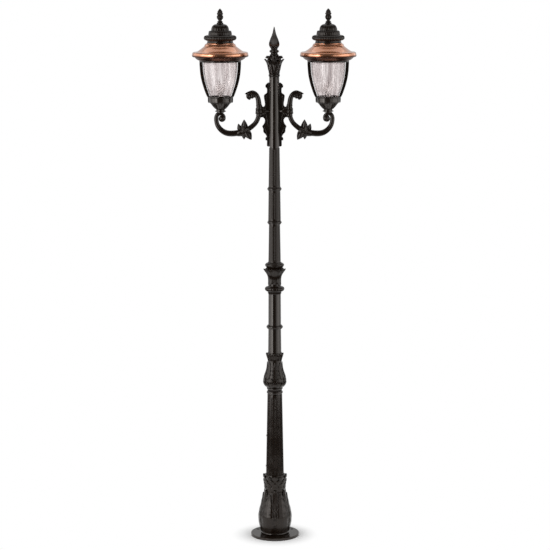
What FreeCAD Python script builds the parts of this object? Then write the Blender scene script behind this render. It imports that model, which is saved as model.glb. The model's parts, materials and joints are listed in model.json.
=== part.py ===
import FreeCAD, Part

import math
import os

import Sketcher
from FreeCAD import Placement, Rotation, Vector

# Garden light: a fluted column on a round flange, two scrolled arms and two copper-roofed lanterns.
# Lengths are in millimetres, +Z is up, and the origin is the middle of the flange's underside.

document = FreeCAD.newDocument("GardenLight")
sheet = document.addObject("Spreadsheet::Sheet", "Sizes")


class Size:
    """A length together with the sheet expression that gives it."""

    def __init__(self, value, text):
        self.value = float(value)
        self.text = text

    @staticmethod
    def of(other):
        return other if isinstance(other, Size) else Size(other, repr(float(other)))

    def __add__(self, other):
        other = Size.of(other)
        return Size(self.value + other.value, "(%s + %s)" % (self.text, other.text))

    def __sub__(self, other):
        other = Size.of(other)
        return Size(self.value - other.value, "(%s - %s)" % (self.text, other.text))

    def __mul__(self, other):
        other = Size.of(other)
        return Size(self.value * other.value, "(%s * %s)" % (self.text, other.text))

    def __truediv__(self, other):
        other = Size.of(other)
        return Size(self.value / other.value, "(%s / %s)" % (self.text, other.text))

    def __neg__(self):
        return Size(-self.value, "(0 - %s)" % self.text)

    def root(self):
        return Size(math.sqrt(self.value), "sqrt(%s)" % self.text)


class Group:
    """Named sizes of one piece, written to the sheet and kept as Size values."""

    row = 0

    def __init__(self, name, values):
        for key, value in values.items():
            Group.row += 1
            alias = "%s_%s" % (name, key)
            sheet.set("A%d" % Group.row, alias)
            sheet.set("B%d" % Group.row, repr(value))
            sheet.setAlias("B%d" % Group.row, alias)
            setattr(self, key, Size(value, "Sizes." + alias))


fit_sizes = {
    "gap": 0.3,             # between pieces that come apart
    "seat": 0.15,           # between pieces that are pressed or screwed together
    "overrun": 5.0,         # how far a cutter runs past the face it cuts
}
fit = Group("fit", fit_sizes)
flange_sizes = {
    "radius": 150.0,
    "thickness": 16.0,
    "edge": 2.0,
    "bolt_circle": 122.5,
    "bolt_hole": 9.0,
    "cable_hole": 40.0,
    "screw_circle": 74.0,
    "screw_hole": 5.5,
    "head_hole": 9.5,
    "head_depth": 10.0,
}
flange = Group("flange", flange_sizes)
plinth_sizes = {
    "height": 376.0,
    "radius": 104.0,
    "wall": 6.0,
    "lug_radius": 13.0,
    "lug_height": 36.0,
    "web": 8.0,
    "socket_depth": 62.0,
    "web_bore": 28.0,
}
plinth = Group("plinth", plinth_sizes)
screw_sizes = {
    "shank": 5.0,
    "head": 8.5,
    "head_height": 8.0,
    "length": 38.0,
}
screw = Group("screw", screw_sizes)
shaft_sizes = {
    "height": 570.0,
    "foot_radius": 57.0,
    "top_radius": 46.0,
    "wall": 6.0,
    "flute_radius": 6.0,
    "flute_depth": 2.2,
    "flute_foot": 84.0,
    "flute_stop": 18.0,
}
shaft = Group("shaft", shaft_sizes)
door_sizes = {
    "height": 230.0,
    "half_width": 34.0,
    "sill": 95.0,
    "gap": 1.2,
    "screw_inset": 18.0,
    "screw_radius": 3.0,
    "screw_head": 6.5,
    "screw_head_height": 3.0,
    "screw_length": 24.0,
    "bar_overlap": 22.0,
    "bar_thickness": 5.0,
    "bar_half_width": 10.0,
}
door = Group("door", door_sizes)
gear_sizes = {
    "face": 29.5,
    "thickness": 3.0,
    "half_width": 15.0,
    "height": 270.0,
    "foot": 14.0,
    "block_depth": 20.0,
    "block_half_width": 18.0,
    "block_height": 62.0,
    "block_base": 150.0,
    "block_slot": 4.0,
}
gear = Group("gear", gear_sizes)
core_sizes = {
    "radius": 24.15,
    "wall": 3.2,
    "above_bar": 23.0,
    "socket_height": 40.0,
    "socket_rise": 30.0,
    "land": 12.0,
    "casting_wall": 4.0,
    "plug_height": 20.0,
}
core = Group("core", core_sizes)
collar_sizes = {"height": 28.0, "radius": 50.0}
collar = Group("collar", collar_sizes)
bulb_sizes = {"height": 238.0, "radius": 68.0, "socket_depth": 22.0}
bulb = Group("bulb", bulb_sizes)
plain_lower_sizes = {"height": 170.0, "foot_radius": 41.0, "top_radius": 39.0}
plain_lower = Group("plain_lower", plain_lower_sizes)
ring_lower_sizes = {"height": 24.0, "radius": 51.0}
ring_lower = Group("ring_lower", ring_lower_sizes)
plain_upper_sizes = {"height": 194.0, "foot_radius": 39.0, "top_radius": 38.0}
plain_upper = Group("plain_upper", plain_upper_sizes)
vase_sizes = {"height": 198.0, "radius": 68.0}
vase = Group("vase", vase_sizes)
fluted_sizes = {"flute_radius": 5.0, "flute_depth": 1.2, "margin": 10.0}
fluted = Group("fluted", fluted_sizes)
fluted_lower_sizes = {"height": 234.0, "foot_radius": 38.0, "top_radius": 34.0}
fluted_lower = Group("fluted_lower", fluted_lower_sizes)
fluted_middle_sizes = {"height": 182.0, "foot_radius": 38.5, "top_radius": 36.0}
fluted_middle = Group("fluted_middle", fluted_middle_sizes)
fluted_upper_sizes = {"height": 240.0, "foot_radius": 36.0, "top_radius": 32.0}
fluted_upper = Group("fluted_upper", fluted_upper_sizes)
ring_upper_sizes = {"height": 24.0, "radius": 44.0}
ring_upper = Group("ring_upper", ring_upper_sizes)
mast_sizes = {
    "headroom": 32.0,
    "foot_radius": 34.0,
    "top_radius": 30.5,
    "neck_radius": 28.0,
    "neck_height": 7.0,
}
mast = Group("mast", mast_sizes)
capital_sizes = {"height": 126.0, "radius": 60.0}
capital = Group("capital", capital_sizes)
spear_sizes = {"height": 175.0, "radius": 31.0, "shank": 8.0, "shank_length": 45.0}
spear = Group("spear", spear_sizes)
bracket_sizes = {
    "height": 394.0,
    "foot": 4.0,
    "reach": 72.0,
    "inner": 26.0,
    "half_thickness": 14.0,
    "bolt_height": 48.0,
    "bolt_shank": 4.0,
    "bolt_head": 8.0,
    "bolt_reach": 53.5,
}
bracket = Group("bracket", bracket_sizes)
arm_sizes = {
    "reach": 326.0,
    "drop": 129.0,
    "tube_radius": 14.5,
    "bore": 7.0,
    "scroll_radius": 14.0,
    "hub_radius": 24.0,
    "hub_height": 64.0,
    "hub_offset": 92.0,
    "hub_rise": 12.0,
    "neck_radius": 22.0,
    "ball_radius": 23.0,
    "seat_radius": 23.0,
    "leaf_half_thickness": 13.0,
    "curl_radius": 16.0,
}
arm = Group("arm", arm_sizes)
nipple_sizes = {"radius": 6.5, "wall": 1.5, "engage": 22.0, "nut": 11.0, "nut_height": 6.0}
nipple = Group("nipple", nipple_sizes)
stem_sizes = {"height": 18.0, "radius": 33.0}
stem = Group("stem", stem_sizes)
cup_sizes = {"height": 71.0, "radius": 74.0, "wall": 4.0, "floor": 20.0, "ledge": 12.0, "ledge_height": 5.0}
cup = Group("cup", cup_sizes)
cage_sizes = {
    "height": 231.0,
    "foot_radius": 75.0,
    "top_radius": 125.6,
    "foot_ring": 10.0,
    "foot_width": 8.0,
    "top_ring": 14.0,
    "top_width": 19.0,
    "rebate": 5.0,
    "rebate_width": 7.0,
    "rib_half_width": 8.0,
    "rib_gap": 1.5,
}
cage = Group("cage", cage_sizes)
glass_sizes = {"height": 216.0, "radius": 103.5, "wall": 4.0}
glass = Group("glass", glass_sizes)
gasket_sizes = {"height": 6.0, "lap": 1.0}
gasket = Group("gasket", gasket_sizes)
bridge_sizes = {
    "half_width": 14.0,
    "thickness": 4.0,
    "end_inset": 8.0,
    "screw_inset": 14.0,
    "screw_radius": 2.5,
    "screw_head": 5.0,
    "screw_head_height": 2.5,
    "screw_length": 11.0,
}
bridge = Group("bridge", bridge_sizes)
stud_sizes = {"radius": 5.0, "nut": 9.0, "nut_height": 6.0}
stud = Group("stud", stud_sizes)
holder_sizes = {"radius": 21.0, "height": 58.0, "wall": 3.0, "floor": 14.0}
holder = Group("holder", holder_sizes)
lamp_sizes = {"radius": 30.0, "height": 122.0, "cap_radius": 13.0, "cap_height": 27.0}
lamp = Group("lamp", lamp_sizes)
canopy_sizes = {"height": 102.0, "radius": 171.0, "wall": 2.0}
canopy = Group("canopy", canopy_sizes)
crown_sizes = {"height": 125.0, "radius": 99.0, "wall": 5.0}
crown = Group("crown", crown_sizes)
finial_sizes = {"height": 83.0, "radius": 20.5, "thread_depth": 26.0}
finial = Group("finial", finial_sizes)

# The levels of the column, each piece standing on the one below it.
casting_level = flange.thickness
plinth_seat = plinth.height - plinth.socket_depth
shaft_level = casting_level + plinth_seat
collar_level = shaft_level + shaft.height
bulb_level = collar_level + collar.height
bulb_seat = bulb.height - bulb.socket_depth
plain_lower_level = bulb_level + bulb_seat
ring_lower_level = plain_lower_level + plain_lower.height
plain_upper_level = ring_lower_level + ring_lower.height
vase_level = plain_upper_level + plain_upper.height
fluted_lower_level = vase_level + vase.height
ring_middle_level = fluted_lower_level + fluted_lower.height
fluted_middle_level = ring_middle_level + ring_upper.height
ring_top_level = fluted_middle_level + fluted_middle.height
fluted_upper_level = ring_top_level + ring_upper.height
mast_level = fluted_upper_level + fluted_upper.height
mast_height = bracket.foot + bracket.height + mast.headroom
capital_level = mast_level + mast_height
spear_level = capital_level + capital.height
core_level = shaft_level + door.sill + door.height + door.bar_overlap + core.above_bar
bracket_hub_share = 0.5635
bracket_level = mast_level + bracket.foot
hub_level = bracket_level + bracket.height * bracket_hub_share
arm_level = hub_level - arm.hub_rise
stem_level = arm_level
cup_level = stem_level + stem.height
cage_level = cup_level + cup.height
cage_top_level = cage_level + cage.height
canopy_level = cage_top_level - cage.rebate + fit.gap
crown_level = canopy_level + canopy.height
finial_level = crown_level + crown.height
zero = Size(0, "0")


def vector(point):
    return Vector(point[0].value, point[1].value, 0)


def scaled(width, height, shares):
    """Points of an outline as shares of a width and a height; a third word keeps its mark."""
    return [(width * share[0], height * share[1]) + tuple(share[2:]) for share in shares]


def turned_left(start, middle, end):
    first = middle - start
    second = end - middle
    return first.x * second.y - first.y * second.x > 0


def pin(sketch, geometry, vertex, point):
    """Hold one point of a sketch at its named place."""
    for kind, coordinate in (("DistanceX", point[0]), ("DistanceY", point[1])):
        index = sketch.addConstraint(
            Sketcher.Constraint(kind, -1, 1, geometry, vertex, coordinate.value))
        sketch.setExpression("Constraints[%d]" % index, coordinate.text)


def draw(sketch, points, closed=True):
    """Draw an outline through points; one marked "round" is the middle of an arc."""
    corners = [index for index, point in enumerate(points) if len(point) == 2]
    spans = list(zip(corners, corners[1:] + corners[:1]))
    if not closed:
        spans = spans[:-1]
    ends = []
    for here, there in spans:
        start, end = vector(points[here]), vector(points[there])
        between = points[(here + 1) % len(points)]
        if len(between) == 3:
            middle = vector(between)
            onward = turned_left(start, middle, end)
            edge = Part.Arc(start, middle, end) if onward else Part.Arc(end, middle, start)
            geometry = sketch.addGeometry(edge, False)
            marker = sketch.addGeometry(Part.Point(middle), True)
            pin(sketch, marker, 1, between)
            sketch.addConstraint(Sketcher.Constraint("PointOnObject", marker, 1, geometry))
            ends.append((geometry, 1, 2) if onward else (geometry, 2, 1))
        else:
            geometry = sketch.addGeometry(Part.LineSegment(start, end), False)
            ends.append((geometry, 1, 2))
    for index, (geometry, first, last) in enumerate(ends):
        pin(sketch, geometry, first, points[spans[index][0]])
        if closed or index + 1 < len(ends):
            follower = ends[(index + 1) % len(ends)]
            sketch.addConstraint(
                Sketcher.Constraint("Coincident", geometry, last, follower[0], follower[1]))
        else:
            pin(sketch, geometry, last, points[spans[index][1]])
    return sketch


def disc(sketch, centre, radius):
    """Draw a circle with its centre and radius held by named sizes."""
    geometry = sketch.addGeometry(Part.Circle(vector(centre), Vector(0, 0, 1), radius.value), False)
    pin(sketch, geometry, 3, centre)
    index = sketch.addConstraint(Sketcher.Constraint("Radius", geometry, radius.value))
    sketch.setExpression("Constraints[%d]" % index, radius.text)
    return sketch


def place(item, x=zero, y=zero, z=zero, turn=Rotation()):
    item.Placement = Placement(Vector(x.value, y.value, z.value), turn)
    for axis, distance in (("x", x), ("y", y), ("z", z)):
        item.setExpression("Placement.Base.%s" % axis, distance.text)
    return item


def piece(label):
    body = document.addObject("PartDesign::Body", label)
    body.Label = label
    return body


def sketch_on(body, role, name, lift=zero):
    """A sketch on one of the body's own planes, lifted along that plane's normal."""
    sketch = body.newObject("Sketcher::SketchObject", name)
    plane = next(item for item in body.Origin.OriginFeatures if item.Role == role)
    sketch.AttachmentSupport = [(plane, "")]
    sketch.MapMode = "FlatFace"
    sketch.AttachmentOffset = Placement(Vector(0, 0, lift.value), Rotation())
    sketch.setExpression("AttachmentOffset.Base.z", lift.text)
    return sketch


def turn(body, points, name, kind="PartDesign::Revolution"):
    """Turn a closed outline of radius and height about the body's upright axis."""
    sketch = draw(sketch_on(body, "XZ_Plane", name + "_outline"), points)
    feature = body.newObject(kind, name)
    feature.Profile = sketch
    feature.ReferenceAxis = (sketch, ["V_Axis"])
    feature.Angle = 360
    sketch.Visibility = False
    return feature


def raised(body, sketch, length, name, middle=False):
    """Raise a sketch into a solid, to one side or evenly about its plane."""
    pad = body.newObject("PartDesign::Pad", name)
    pad.Profile = sketch
    pad.Length = length.value
    pad.setExpression("Length", length.text)
    pad.Midplane = middle
    return pad


def bored(body, sketch, length, name, back=False):
    """Cut a sketch into the solid along or against its plane's normal."""
    pocket = body.newObject("PartDesign::Pocket", name)
    pocket.Profile = sketch
    pocket.Length = length.value
    pocket.setExpression("Length", length.text)
    pocket.Reversed = not back
    return pocket


def around(body, feature, count, name):
    """Repeat a feature evenly about the body's upright axis."""
    axis = next(item for item in body.Origin.OriginFeatures if item.Role == "Z_Axis")
    pattern = body.newObject("PartDesign::PolarPattern", name)
    pattern.Originals = [feature]
    pattern.Axis = (axis, [""])
    pattern.Angle = 360
    pattern.Occurrences = count
    body.Tip = pattern
    return pattern


def tube_outline(foot_radius, top_radius, height, bore):
    """A tapered sleeve, hollow between two lands that ride on the core tube."""
    relief = top_radius - core.casting_wall
    return [
        (bore, zero),
        (foot_radius, zero),
        (top_radius, height),
        (bore, height),
        (bore, height - core.land),
        (relief, height - core.land),
        (relief, core.land),
        (bore, core.land),
    ]


def flute(body, foot_radius, top_radius, height, start, end, radius, depth, count):
    """Cut straight flutes along a tapered shaft, parallel to its side."""
    def centre(level):
        side = foot_radius - (foot_radius - top_radius) * (level / height)
        return side + radius - depth
    path = sketch_on(body, "XZ_Plane", "flute_path")
    draw(path, [(centre(start), start), (centre(end), end)], closed=False)
    ring = disc(sketch_on(body, "XY_Plane", "flute_ring", start), (centre(start), zero), radius)
    cut = body.newObject("PartDesign::SubtractivePipe", "flute")
    cut.Profile = ring
    cut.Spine = (path, ["Edge1"])
    return around(body, cut, count, "flutes")


def side_bore(body, radius, level, reach, name):
    """A level hole along X, right through the body."""
    sketch = disc(sketch_on(body, "YZ_Plane", name + "_ring"), (zero, level), radius)
    pocket = bored(body, sketch, reach * 2, name)
    pocket.Midplane = True
    return pocket


def cross_holes(body, level):
    """The level holes through the mast for the bracket bolts and the arms' nipples."""
    reach = mast.foot_radius
    side_bore(body, bracket.bolt_shank + fit.seat, bracket_level + bracket.bolt_height - level, reach, "bolt_hole")
    side_bore(body, nipple_bore, hub_level - level, reach, "nipple_hole")


core_bore = core.radius + fit.seat
bracket_face_share = 0.8
bracket_face = bracket.reach * bracket_face_share
nipple_bore = nipple.radius + fit.seat
count_of_flutes = 16
count_of_bolts = 3


def make_flange():
    body = piece("base_flange")
    turn(body, [
        (flange.cable_hole, zero),
        (flange.radius, zero),
        (flange.radius, flange.thickness - flange.edge),
        (flange.radius - flange.edge, flange.thickness),
        (flange.cable_hole, flange.thickness),
    ], "disc")
    half = 0.5
    lean_share = math.sqrt(3) / 2
    bolt = (flange.bolt_circle * lean_share, flange.bolt_circle * half)
    holes = disc(sketch_on(body, "XY_Plane", "bolt_hole"), bolt, flange.bolt_hole)
    around(body, bored(body, holes, flange.thickness + fit.overrun, "bolt"), count_of_bolts, "bolts")
    screw_place = (zero, flange.screw_circle)
    for radius, depth, name in (
            (flange.screw_hole, flange.thickness + fit.overrun, "screw_hole"),
            (flange.head_hole, flange.head_depth, "screw_head")):
        hole = disc(sketch_on(body, "XY_Plane", name + "_ring"), screw_place, radius)
        around(body, bored(body, hole, depth, name), count_of_bolts, name + "s")
    return place(body)


plinth_shares = [
    (0.82, 0.0), (0.857, 0.029), (0.915, 0.1), (0.99, 0.2), (1.0, 0.306), (0.95, 0.375),
    (0.857, 0.46), (0.8, 0.548), (0.73, 0.633), (0.6, 0.737), (0.655, 0.87), (0.698, 0.95), (0.673, 1.0),
]


def make_plinth():
    body = piece("base_casting")
    outer = scaled(plinth.radius, plinth.height, plinth_shares)
    bulge = outer[:9]
    inner = [(radius - plinth.wall, height) for radius, height in reversed(bulge)]
    socket = shaft.foot_radius + fit.gap
    throat = outer[9][0] - plinth.wall
    under_web = plinth_seat - plinth.web
    turn(body, outer + [
        (socket, plinth.height),
        (socket, plinth_seat),
        (plinth.web_bore, plinth_seat),
        (plinth.web_bore, under_web),
        (throat, under_web),
        (throat, outer[9][1]),
    ] + inner, "shell")
    lug = sketch_on(body, "XY_Plane", "lug_ring")
    disc(lug, (zero, flange.screw_circle), plinth.lug_radius)
    around(body, raised(body, lug, plinth.lug_height, "lug"), count_of_bolts, "lugs")
    hole = disc(sketch_on(body, "XY_Plane", "thread_ring"), (zero, flange.screw_circle),
                screw.shank + fit.seat)
    around(body, bored(body, hole, plinth.lug_height - plinth.wall, "thread"), count_of_bolts, "threads")
    return place(body, z=casting_level)


def make_base_screws():
    body = piece("base_screws")
    head = sketch_on(body, "XY_Plane", "head_ring")
    disc(head, (zero, flange.screw_circle), screw.head)
    around(body, raised(body, head, screw.head_height, "head"), count_of_bolts, "heads")
    shank = sketch_on(body, "XY_Plane", "shank_ring")
    disc(shank, (zero, flange.screw_circle), screw.shank)
    around(body, raised(body, shank, screw.length, "shank"), count_of_bolts, "shanks")
    return place(body, z=flange.head_depth - screw.head_height)


def shaft_blank(label):
    """The fluted, tapered lower shaft before its doorway is cut."""
    body = piece(label)
    turn(body, [
        (shaft.foot_radius - shaft.wall, zero),
        (shaft.foot_radius, zero),
        (shaft.top_radius, shaft.height),
        (shaft.top_radius - shaft.wall, shaft.height),
    ], "wall")
    flute(body, shaft.foot_radius, shaft.top_radius, shaft.height,
          shaft.flute_foot, shaft.height - shaft.flute_stop, shaft.flute_radius, shaft.flute_depth, count_of_flutes)
    return place(body, z=shaft_level)


def doorway(label, margin):
    """The block of space that the door fills, smaller by a margin all round."""
    block = document.addObject("Part::Box", label)
    half = door.half_width - margin
    for name, length in (
            ("Length", shaft.foot_radius + fit.overrun),
            ("Width", half * 2),
            ("Height", door.height - margin * 2)):
        setattr(block, name, length.value)
        block.setExpression(name, length.text)
    return place(block, x=-(shaft.foot_radius + fit.overrun), y=-half,
                 z=shaft_level + door.sill + margin)


def joined(kind, label, base, tool):
    result = document.addObject(kind, label)
    result.Base = base
    result.Tool = tool
    result.Label = label
    return result


def shaft_side(level):
    """The outer radius of the lower shaft at a height above its foot."""
    return shaft.foot_radius - (shaft.foot_radius - shaft.top_radius) * (level / shaft.height)


def make_shaft():
    return joined("Part::Cut", "lower_shaft", shaft_blank("shaft_blank"), doorway("doorway", zero))


lower_screw_height = door.sill + door.screw_inset
upper_screw_height = door.sill + door.height - door.screw_inset


def screw_holes(label, radius):
    """Two level cutters, one for each door screw."""
    cutters = []
    for name, height in (("lower", lower_screw_height), ("upper", upper_screw_height)):
        hole = document.addObject("Part::Cylinder", "%s_%s" % (label, name))
        hole.setExpression("Radius", radius.text)
        hole.setExpression("Height", (shaft.foot_radius + fit.overrun).text)
        place(hole, z=shaft_level + height, turn=Rotation(Vector(0, 1, 0), -90))
        cutters.append(hole)
    group = document.addObject("Part::MultiFuse", label)
    group.Shapes = cutters
    return group


def make_door():
    panel = joined("Part::Common", "door_panel", shaft_blank("door_blank"), doorway("door_space", door.gap))
    return joined("Part::Cut", "service_door", panel, screw_holes("door_holes", door.screw_radius + fit.gap))


def make_door_bar():
    """A strap behind the doorway, parallel to the leaning wall, that the door screws pull against."""
    body = piece("door_bar_blank")
    low = door.sill - door.bar_overlap
    high = door.sill + door.height + door.bar_overlap
    edge = (shaft.wall + fit.gap)
    def face(level):
        side = shaft_side(level) - edge
        return -((side * side - door.bar_half_width * door.bar_half_width).root())
    outline = [
        (face(low), low),
        (face(low) + door.bar_thickness, low),
        (face(high) + door.bar_thickness, high),
        (face(high), high),
    ]
    raised(body, draw(sketch_on(body, "XZ_Plane", "strap_outline"), outline),
           door.bar_half_width * 2, "strap", middle=True)
    place(body, z=shaft_level)
    return joined("Part::Cut", "door_bar", body, screw_holes("bar_holes", door.screw_radius + fit.gap))


def make_door_screw(label, height):
    """A domed screw with a driver slot, lying level, its head on the outside of the door."""
    body = piece(label)
    rise = door.screw_head_height
    turn(body, [
        (zero, -(door.screw_length)),
        (door.screw_radius, -(door.screw_length)),
        (door.screw_radius, zero),
        (door.screw_head, zero),
        (door.screw_head, rise * 0.4),
        (door.screw_head * 0.6, rise),
        (zero, rise),
    ], "screw")
    return place(body, x=-(shaft_side(height) + fit.gap), z=shaft_level + height,
                 turn=Rotation(Vector(0, 1, 0), -90))


def make_gear():
    """The upright bracket inside the shaft, standing on the casting's web, and its terminal block."""
    body = piece("gear_bracket")
    outline = [
        (gear.face, zero),
        (gear.face + gear.foot, zero),
        (gear.face + gear.foot, gear.thickness),
        (gear.face + gear.thickness, gear.thickness),
        (gear.face + gear.thickness, gear.height),
        (gear.face, gear.height),
    ]
    raised(body, draw(sketch_on(body, "XZ_Plane", "bracket_outline"), outline),
           gear.half_width * 2, "bracket", middle=True)
    place(body, z=shaft_level)
    block = piece("terminal_block")
    slot = gear.block_slot
    count = 4
    step = gear.block_height / count
    back = gear.face - fit.gap
    front = back - gear.block_depth
    outline = [(back, zero)]
    for index in range(count):
        outline += [
            (front, step * index),
            (front, step * (index + 1) - slot),
            (front + slot, step * (index + 1) - slot),
            (front + slot, step * (index + 1)),
        ]
    outline.append((back, gear.block_height))
    raised(block, draw(sketch_on(block, "XZ_Plane", "block_outline"), outline),
           gear.block_half_width * 2, "block", middle=True)
    place(block, z=shaft_level + gear.block_base)
    return [body, block]


def make_core():
    """The steel tube that carries the upper column, its socket in the lower shaft and its top plug."""
    tube = piece("core_tube")
    top = capital_level + capital.height - core.plug_height - core_level
    turn(tube, [
        (core.radius - core.wall, zero),
        (core.radius, zero),
        (core.radius, top),
        (core.radius - core.wall, top),
    ], "tube")
    cross_holes(tube, core_level)
    place(tube, z=core_level)
    socket = piece("core_socket")
    level = core_level + core.socket_rise
    side = shaft_side(level + core.socket_height - shaft_level) - shaft.wall - fit.seat
    turn(socket, [
        (core_bore, zero),
        (side, zero),
        (side, core.socket_height),
        (core_bore, core.socket_height),
    ], "ring")
    place(socket, z=level)
    plug = piece("core_plug")
    turn(plug, [
        (spear.shank + fit.seat, zero),
        (core.radius - core.wall - fit.seat, zero),
        (core.radius - core.wall - fit.seat, core.plug_height),
        (spear.shank + fit.seat, core.plug_height),
    ], "plug")
    place(plug, z=core_level + top - core.plug_height)
    return [tube, socket, plug]


ring_shares = [(0.84, 0.0), (0.9, 0.1), (0.88, 0.2), (1.0, 0.5, "round"), (0.88, 0.8), (0.9, 0.9), (0.84, 1.0)]


def make_ring(label, group, level):
    body = piece(label)
    outer = scaled(group.radius, group.height, ring_shares)
    turn(body, [(core_bore, zero)] + outer + [(core_bore, group.height)], "ring")
    return place(body, z=level)


def make_sleeve(label, group, level, with_flutes):
    body = piece(label)
    turn(body, tube_outline(group.foot_radius, group.top_radius, group.height, core_bore), "tube")
    if with_flutes:
        flute(body, group.foot_radius, group.top_radius, group.height, fluted.margin,
              group.height - fluted.margin, fluted.flute_radius, fluted.flute_depth, count_of_flutes)
    return place(body, z=level)


bulb_shares = [
    (0.68, 0.0), (0.75, 0.055), (0.97, 0.16), (1.0, 0.307), (0.9, 0.424), (0.75, 0.534),
    (0.69, 0.664), (0.632, 0.81), (0.706, 0.903), (0.794, 0.99), (0.76, 1.0),
]


def make_bulb():
    """The relief-covered swelling above the lower shaft, with a leaf crown round the next tube."""
    body = piece("bulb_casting")
    outer = scaled(bulb.radius, bulb.height, bulb_shares)
    socket = plain_lower.foot_radius + fit.gap
    hollow = bulb.radius * 0.78
    turn(body, [(core_bore, zero)] + outer + [
        (socket, bulb.height),
        (socket, bulb_seat),
        (core_bore, bulb_seat),
        (core_bore, outer[5][1]),
        (hollow, outer[3][1]),
        (hollow, outer[2][1]),
        (core_bore, outer[1][1]),
    ], "shell")
    return place(body, z=bulb_level)


vase_shares = [
    (0.56, 0.0), (0.62, 0.08), (0.76, 0.11), (0.84, 0.18, "round"), (0.76, 0.245), (0.57, 0.28),
    (0.53, 0.42, "round"), (0.574, 0.54), (0.69, 0.67, "round"), (0.93, 0.75), (1.0, 0.79), (0.9, 0.825),
    (0.7, 0.858), (0.74, 0.9), (0.83, 0.93), (0.8, 0.97), (0.62, 1.0),
]


def make_vase():
    body = piece("vase_casting")
    outer = scaled(vase.radius, vase.height, vase_shares)
    turn(body, [(core_bore, zero)] + outer + [(core_bore, vase.height)], "vase")
    return place(body, z=vase_level)


def make_mast():
    """The plain tube between the arm brackets, standing on a narrow neck."""
    body = piece("mast_sleeve")
    turn(body, [
        (core_bore, zero),
        (mast.neck_radius, zero),
        (mast.neck_radius, mast.neck_height),
        (mast.foot_radius, mast.neck_height),
        (mast.top_radius, mast_height),
        (core_bore, mast_height),
    ], "tube")
    cross_holes(body, mast_level)
    return place(body, z=mast_level)


capital_shares = [
    (0.508, 0.0), (0.55, 0.127), (0.6, 0.317), (0.7, 0.5), (0.735, 0.706), (0.85, 0.77), (1.0, 0.83),
    (0.86, 0.87), (0.8, 0.93), (0.85, 0.96), (0.85, 1.0),
]


def make_capital():
    body = piece("column_capital")
    outer = scaled(capital.radius, capital.height, capital_shares)
    top = capital.height - core.plug_height
    neck = spear.shank + fit.gap
    turn(body, [(core_bore, zero)] + outer + [
        (neck, capital.height),
        (neck, top + fit.gap),
        (core_bore, top + fit.gap),
    ], "capital")
    return place(body, z=capital_level)


spear_shares = [
    (0.66, 0.0), (0.6, 0.09), (0.85, 0.115), (0.95, 0.15, "round"), (0.85, 0.19), (0.62, 0.21),
    (0.62, 0.25), (1.0, 0.39, "round"), (0.77, 0.54), (0.39, 0.71), (0.12, 0.9),
]


def make_spear():
    body = piece("spear_finial")
    outer = scaled(spear.radius, spear.height, spear_shares)
    turn(body, [
        (zero, -(spear.shank_length)),
        (spear.shank, -(spear.shank_length)),
        (spear.shank, zero),
    ] + outer + [(zero, spear.height)], "spear")
    return place(body, z=spear_level)


def inside(points, wall):
    """The inner face of a shell: its outer outline, moved in by the wall and read backwards."""
    flat = [vector(point) for point in points]
    moved = []
    for index, (radius, height) in enumerate(points):
        before = flat[index] - flat[index - 1] if index else flat[1] - flat[0]
        after = flat[index + 1] - flat[index] if index + 1 < len(flat) else before
        before.normalize()
        after.normalize()
        normal = Vector(-before.y - after.y, before.x + after.x, 0)
        normal.normalize()
        reach = 1 / (normal.y * before.x - normal.x * before.y)
        if index in (0, len(flat) - 1):
            moved.append((radius + wall / normal.x, height))
        else:
            moved.append((radius + wall * (normal.x * reach), height + wall * (normal.y * reach)))
    return moved[::-1]


bracket_shares = [
    (0.6, 0.0), (0.625, 0.09), (0.667, 0.17), (0.917, 0.23), (1.0, 0.317), (0.85, 0.38), (0.778, 0.424),
    (bracket_face_share, 0.47), (bracket_face_share, 0.66), (0.875, 0.8), (0.76, 0.845), (0.61, 0.878),
    (0.66, 0.905), (0.757, 0.94, "round"), (0.625, 1.0),
]


def make_bracket(label, side):
    """A cast saddle with a leafy edge, screwed to one side of the mast."""
    body = piece(label)
    edge = scaled(bracket.reach * side, bracket.height, bracket_shares)
    outline = edge + [(bracket.inner * side, bracket.height), (bracket.inner * side, zero)]
    raised(body, draw(sketch_on(body, "XZ_Plane", "leaf_outline"), outline),
           bracket.half_thickness * 2, "leaf", middle=True)
    over = fit.overrun
    turn(body, [
        (zero, -over),
        (mast.foot_radius + fit.seat, -over),
        (mast.top_radius + fit.seat, mast_height - bracket.foot),
        (zero, mast_height - bracket.foot),
    ], "saddle", "PartDesign::Groove")
    side_bore(body, nipple_bore, hub_level - bracket_level, bracket.reach, "nipple_hole")
    side_bore(body, bracket.bolt_shank + fit.seat, bracket.bolt_height, bracket.reach, "bolt_hole")
    return place(body, z=bracket_level)


def level_rod(body, radius, start, length, name, height=zero):
    """A round bar along X between two named places."""
    ring = disc(sketch_on(body, "YZ_Plane", name + "_ring", start), (zero, height), radius)
    return raised(body, ring, length, name)


def make_bracket_bolts():
    """A domed bolt through the foot of each bracket into the mast."""
    body = piece("bracket_bolts")
    face = bracket.reach * 0.65
    inner = core.radius - core.wall
    for name, start, middle in (
            ("left", -(bracket.bolt_reach), -face),
            ("right", face, inner)):
        head_start = start if name == "left" else face
        shank_start = -face if name == "left" else inner
        level_rod(body, bracket.bolt_head, head_start, bracket.bolt_reach - face, name + "_head")
        level_rod(body, bracket.bolt_shank, shank_start, face - inner, name + "_shank")
    return place(body, z=bracket_level + bracket.bolt_height)


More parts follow.
